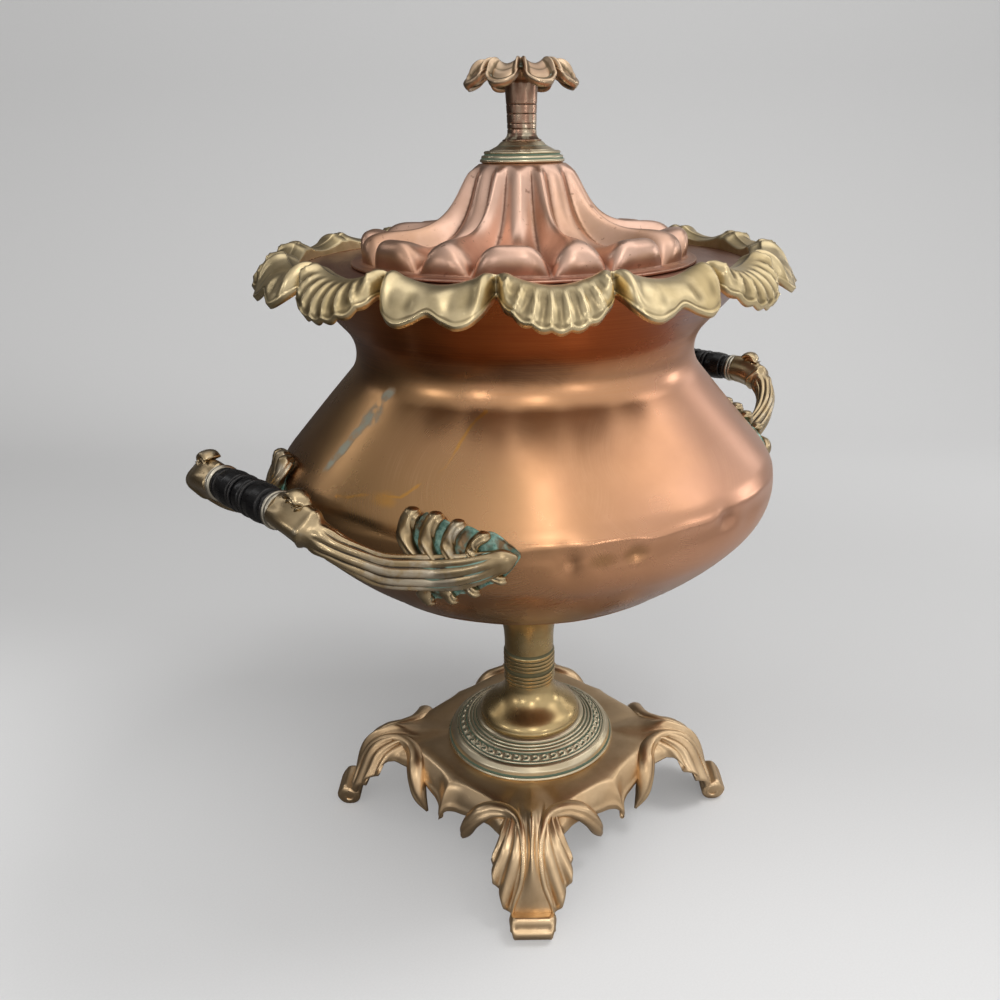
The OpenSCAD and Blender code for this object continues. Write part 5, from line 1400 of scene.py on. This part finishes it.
for side_name, way in (("left", 1), ("right", -1)):
    at = (way * grip_x, 0, grip_z)
    fit(lathe(side_name + "_handle", grip_line, 72, "Y", at), URN, "ebonised_wood", ebony,
        side_name + "_grip")
    ends = [turned(ferrule, 96, axis, (at[0], y, at[2])) for axis, y in
            (("Y", grip_half), ("-Y", -grip_half))]
    fit(skin(side_name + "_caps", ends, passes=1), URN, "brass_old", pale_brass,
        side_name + "_ferrules")


# ---- Heater ------------------------------------------------------------------------------------
# A copper tube stands in the bowl and holds a hot iron. A copper cap with a brass knob slips
# over its mouth, under the lid.
tube_z, tube_r, tube_top, tube_wall = 149.05, 27.0, 301.04, 1.5
tube = outline([(0.4, tube_z + 0.1), (34, tube_z + 0.1, 0.3), (34, tube_z + 1.4, 0.4),
                (28.2, tube_z + 1.6, 0.6), (tube_r, tube_z + 2.6, 0.6),
                (tube_r, tube_top - 3.0, 0.4), (tube_r, tube_top, 0.7),
                (tube_r - tube_wall, tube_top, 0.5), (tube_r - tube_wall, tube_z + 2.2, 0.5),
                (0.4, tube_z + 1.6)], step=4.0)
fit(lathe("tube", tube, 128), URN, "copper_dark", dark_copper, "heater_tube")

cap_low, cover_r = tube_top + 0.3, 28.8
cover = outline([(2.3, cap_low + 0.05), (tube_r + 0.3, cap_low + 0.05, 0.2),
                 (tube_r + 0.3, cap_low - 8.9, 0.2), (cover_r - 0.4, cap_low - 8.9, 0.3),
                 (cover_r, cap_low - 8.2, 0.3), (cover_r - 0.4, cap_low - 7.4, 0.2),
                 (cover_r - 0.4, cap_low + 0.6, 0.8), (cover_r - 2.6, cap_low + 1.5, 0.5),
                 (21.5, cap_low + 1.5, 0.4), (20.6, cap_low + 2.0, 0.4), (15.2, cap_low + 3.4, 0.8),
                 (2.3, cap_low + 3.4)], step=1.5)
fit(lathe("tube_cover", cover, 160), "heater_cover", "copper_dark", dark_copper, "heater_cap")
knob_low = cap_low + 3.55


def ball_line(radius, middle, first):
    """Outline of a ball from an angle in degrees to close under its top."""
    turn = np.radians(np.linspace(first, 86, 16))
    return [(radius * np.cos(a), middle + radius * np.sin(a)) for a in turn]


knob = outline([(0.3, cap_low - 1.5), (4.4, cap_low - 1.5, 0.2), (4.4, cap_low - 0.15, 0.2),
                (2.0, cap_low - 0.15), (2.0, knob_low), (5.9, knob_low, 0.3),
                (6.0, knob_low + 0.9, 0.4), (4.2, knob_low + 2.2, 0.5), (3.2, knob_low + 3.6, 0.4),
                (3.0, knob_low + 4.4, 0.3)]
               + ball_line(6, knob_low + 10, -62) + [(0.3, knob_low + 15.99)], closed=False,
               step=0.8)
fit(lathe("tube_knob", knob, 96, closed=False), "heater_cover", "brass_gold", gold_brass,
    "cap_knob")


# ---- Tap ---------------------------------------------------------------------------------------
# Turned brass tap at the front. A boss that follows the bowl takes the shank, and a conical plug
# turns in the barrel. Its key is a flat lever with a black wooden knob.
tap_z, barrel_y, barrel_half, boss_r = 189.4, -158.0, 18.0, 16.5


def tap_boss(around):
    """Boss of the tap: its back follows the bowl's wall, its front is turned with a bead."""
    turn = full_turn(around)
    rows = []
    for r in (0.3, 4, 8, 12, 15, boss_r):
        x, z = r * np.cos(turn), tap_z + r * np.sin(turn)
        wall = wall_at(z)[0]
        rows.append(np.stack([x, -np.sqrt(np.maximum(wall ** 2 - x ** 2, 1)) - 1.2, z], axis=-1))
    front = outline([(boss_r, 124.4), (boss_r, 126.6, 0.4), (15.6, 127.4, 0.3), (15.9, 128.4, 0.5),
                     (13.6, 130.2, 0.8), (13.1, 131.0, 0.2), (13.4, 131.9, 0.4), (13.0, 133.4, 0.4),
                     (9.0, 133.4, 0.2), (0.3, 133.4)], closed=False, step=0.8)
    for r, y in front:
        rows.append(np.stack([r * np.cos(turn), np.full(around, -y), tap_z + r * np.sin(turn)],
                             axis=-1))
    grid = np.stack(rows)
    side_rows = grid[6:, :, 1]
    grid[6:, :, 1] = np.minimum(side_rows, grid[5, :, 1] - 0.05)
    return grid


fit(skin("tap_boss", [tap_boss(128)], loop=(False, True), passes=1), URN, "brass_gold", gold_brass,
    "tap_escutcheon")

collar = outline([(4.6, 133.6), (11.4, 133.6, 0.3), (11.5, 134.6, 0.3), (10.9, 135.1, 0.2),
                  (11.3, 135.8, 0.3), (11.0, 136.6, 0.3), (8.6, 137.0, 0.3), (8.5, 141.0),
                  (8.5, 150), (4.6, 150)], step=0.7)
shank = outline([(4.6, 78.6), (8.5, 78.6, 0.3), (8.5, 133.8), (4.6, 133.8)], step=4.0)
barrel = outline([(8.35, -barrel_half), (11.3, -barrel_half, 0.4), (11.7, -barrel_half + 1.0, 0.4),
                  (11.3, -barrel_half + 2.2, 0.3), (10.9, -14.6, 0.3), (11.6, -13.2, 0.4),
                  (11.9, -4, 3), (12.0, 4, 3), (12.5, 12.6, 0.5), (11.9, 13.8, 0.3),
                  (12.4, 15.0, 0.4), (13.0, 16.0, 0.5), (12.7, barrel_half, 0.4),
                  (8.35, barrel_half)], step=0.9)
spout_run, spout_bend = 180.0, 12.0
turn = np.linspace(0, np.pi / 2, 16)[1:]
path = np.concatenate([
    np.column_stack([np.linspace(-barrel_y + 6, spout_run, 14), np.full(14, tap_z)]),
    np.column_stack([spout_run + spout_bend * np.sin(turn),
                     tap_z - spout_bend + spout_bend * np.cos(turn)]),
    np.column_stack([np.full(18, spout_run + spout_bend),
                     tap_z - spout_bend - np.linspace(0.8, 15.95, 18)])])
spout_size = 7.0 + 0.9 * hump(path[:, 0], 172, 1.2)
spout_size = spout_size + 1.1 * eased(-path[:, 1], 23.2 - tap_z, 24.2 - tap_z)
spout_size = spout_size - 0.5 * hump(path[:, 1] - tap_z, -22.4, 0.8)
way = unit(np.gradient(path, axis=0))
above = np.column_stack([np.zeros(len(path)), way[:, 1], -way[:, 0]])


def spout_ring(size):
    """Rings of the spout with that radius at each point of its path."""
    turn = full_turn(64)[None, :, None]
    size = np.broadcast_to(size, len(path))[:, None, None]
    centre = np.column_stack([np.zeros(len(path)), -path[:, 0], path[:, 1]])[:, None]
    return centre + size * (np.array([1.0, 0, 0]) * np.cos(turn) + above[:, None] * np.sin(turn))


spout = np.concatenate([spout_ring(spout_size), spout_ring(4.5)[::-1]])
pipe = [turned(collar, 96, "-Y", (0, 0, tap_z)), turned(shank, 64, "-Y", (0, 0, tap_z)),
        turned(barrel, 128, "Z", (0, barrel_y, tap_z)), spout]
fit(skin("tap", pipe, passes=1), URN, "brass_gold", gold_brass, "tap_body")

plug_low, plug_high = tap_z - barrel_half, tap_z + barrel_half
plug = outline([(0.3, plug_low - 9), (2.9, plug_low - 9, 0.3), (3.0, plug_low - 0.2),
                (6.8, plug_low), (8.2, plug_high), (8.2, plug_high + 0.3),
                (11.0, plug_high + 0.35, 0.3), (11.2, plug_high + 1.4, 0.5),
                (10.2, plug_high + 2.7, 0.5), (3.6, plug_high + 2.8), (3.6, plug_high + 9.2, 0.3),
                (0.3, plug_high + 9.5)], closed=False, step=1.2)
fit(lathe("plug", plug, 96, "Z", (0, barrel_y, 0), closed=False), "tap_key", "brass_gold",
    gold_brass, "tap_plug")

lever_z, lever_l = plug_high + 2.95, 28.0
hub = outline([(3.7, 0), (7.6, 0, 0.3), (8.0, 0.8, 0.4), (7.4, 3.2, 0.8), (7.4, 4.6, 0.8),
               (7.9, 6.2, 0.4), (7.2, 7.0, 0.4), (3.7, 7.0)], step=0.7)
post = outline([(0.3, 0), (4.2, 0, 0.3), (4.5, 0.8, 0.4), (4.0, 3.0, 0.8), (4.5, 5.2, 0.4),
                (4.1, 6.0, 0.3), (2.0, 6.0), (2.0, 13.8), (0.3, 13.8)], closed=False, step=0.7)
run = np.linspace(5, lever_l - 2, 30)
waist_y = 2.2 + 1.3 * ((run - 15) / 11) ** 2
turn = full_turn(24)
squared = 1 / (np.abs(np.cos(turn)) ** 4 + np.abs(np.sin(turn)) ** 4) ** 0.25
bar = swept(np.column_stack([run, np.full(30, barrel_y), np.full(30, lever_z + 3.0)]),
            np.column_stack([waist_y, 1.9 + 0 * run]), 24, squared + 0 * run[:, None])
lever = joined(lathe("key", hub, 96, "Z", (0, barrel_y, lever_z)),
               skin("key_bar", [bar, turned(post, 64, "Z", (lever_l, barrel_y, lever_z))],
                    loop=(False, True), passes=1))
fit(lever, "tap_key", "brass_gold", gold_brass, "tap_lever")
knob_z = lever_z + 6.1
knob = outline([(2.1, knob_z), (3.9, knob_z, 0.3), (4.4, knob_z + 1.9, 0.5),
                (3.6, knob_z + 2.7, 0.3)]
               + ball_line(6.4, knob_z + 7.5, -48) + [(0.3, knob_z + 13.89)], closed=False,
               step=0.8)
fit(lathe("key_knob", knob, 96, "Z", (lever_l, barrel_y, 0), closed=False), "tap_key",
    "ebonised_wood", ebony, "lever_knob")


# ---- Rods, nuts and washers --------------------------------------------------------------------
# What the CAD model already shows as it is: the iron rods and the slug are forged and scaled, the
# washers, nuts and studs are cut from brass bar, and the gasket is greased leather.
iron = metal("forged_iron", (0.22, 0.20, 0.19), (0.12, 0.10, 0.09), (0.10, 0.045, 0.02), clouds=0.7,
             cloud_size=60.0, gloss=0.5, pits=0.9, bump=0.15)
bar_brass = metal("bar_brass", (0.60, 0.43, 0.19), (0.38, 0.25, 0.11), (0.12, 0.09, 0.05),
                  clouds=0.6, cloud_size=70.0, gloss=0.26, pits=0.4, bump=0.05)
hide, tree = material("greased_leather")
pores = add(tree, "ShaderNodeTexVoronoi",
            {"Vector": here(tree), "Scale": 900.0}).outputs["Distance"]
tone = mixed(ranged(pores, 0.1, 0.6), (0.05, 0.028, 0.018, 1), (0.12, 0.07, 0.045, 1))
surface(tree, tone, 0.62, pores, 0.1)
for paint, names in (
        (iron, ("tie_rod", "tie_washer", "tie_nut", "finial_rod", "left_grip_rod",
                "right_grip_rod", "heater_iron")),
        (bar_brass, ("finial_washer", "finial_nut", "handle_studs", "handle_washers",
                     "handle_nuts", "tap_saddle", "tap_back_nut", "plug_washer", "plug_nut")),
        (hide, ("tap_gasket",))):
    for name in names:
        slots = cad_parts[name].data.materials
        slots.clear()
        slots.append(paint)
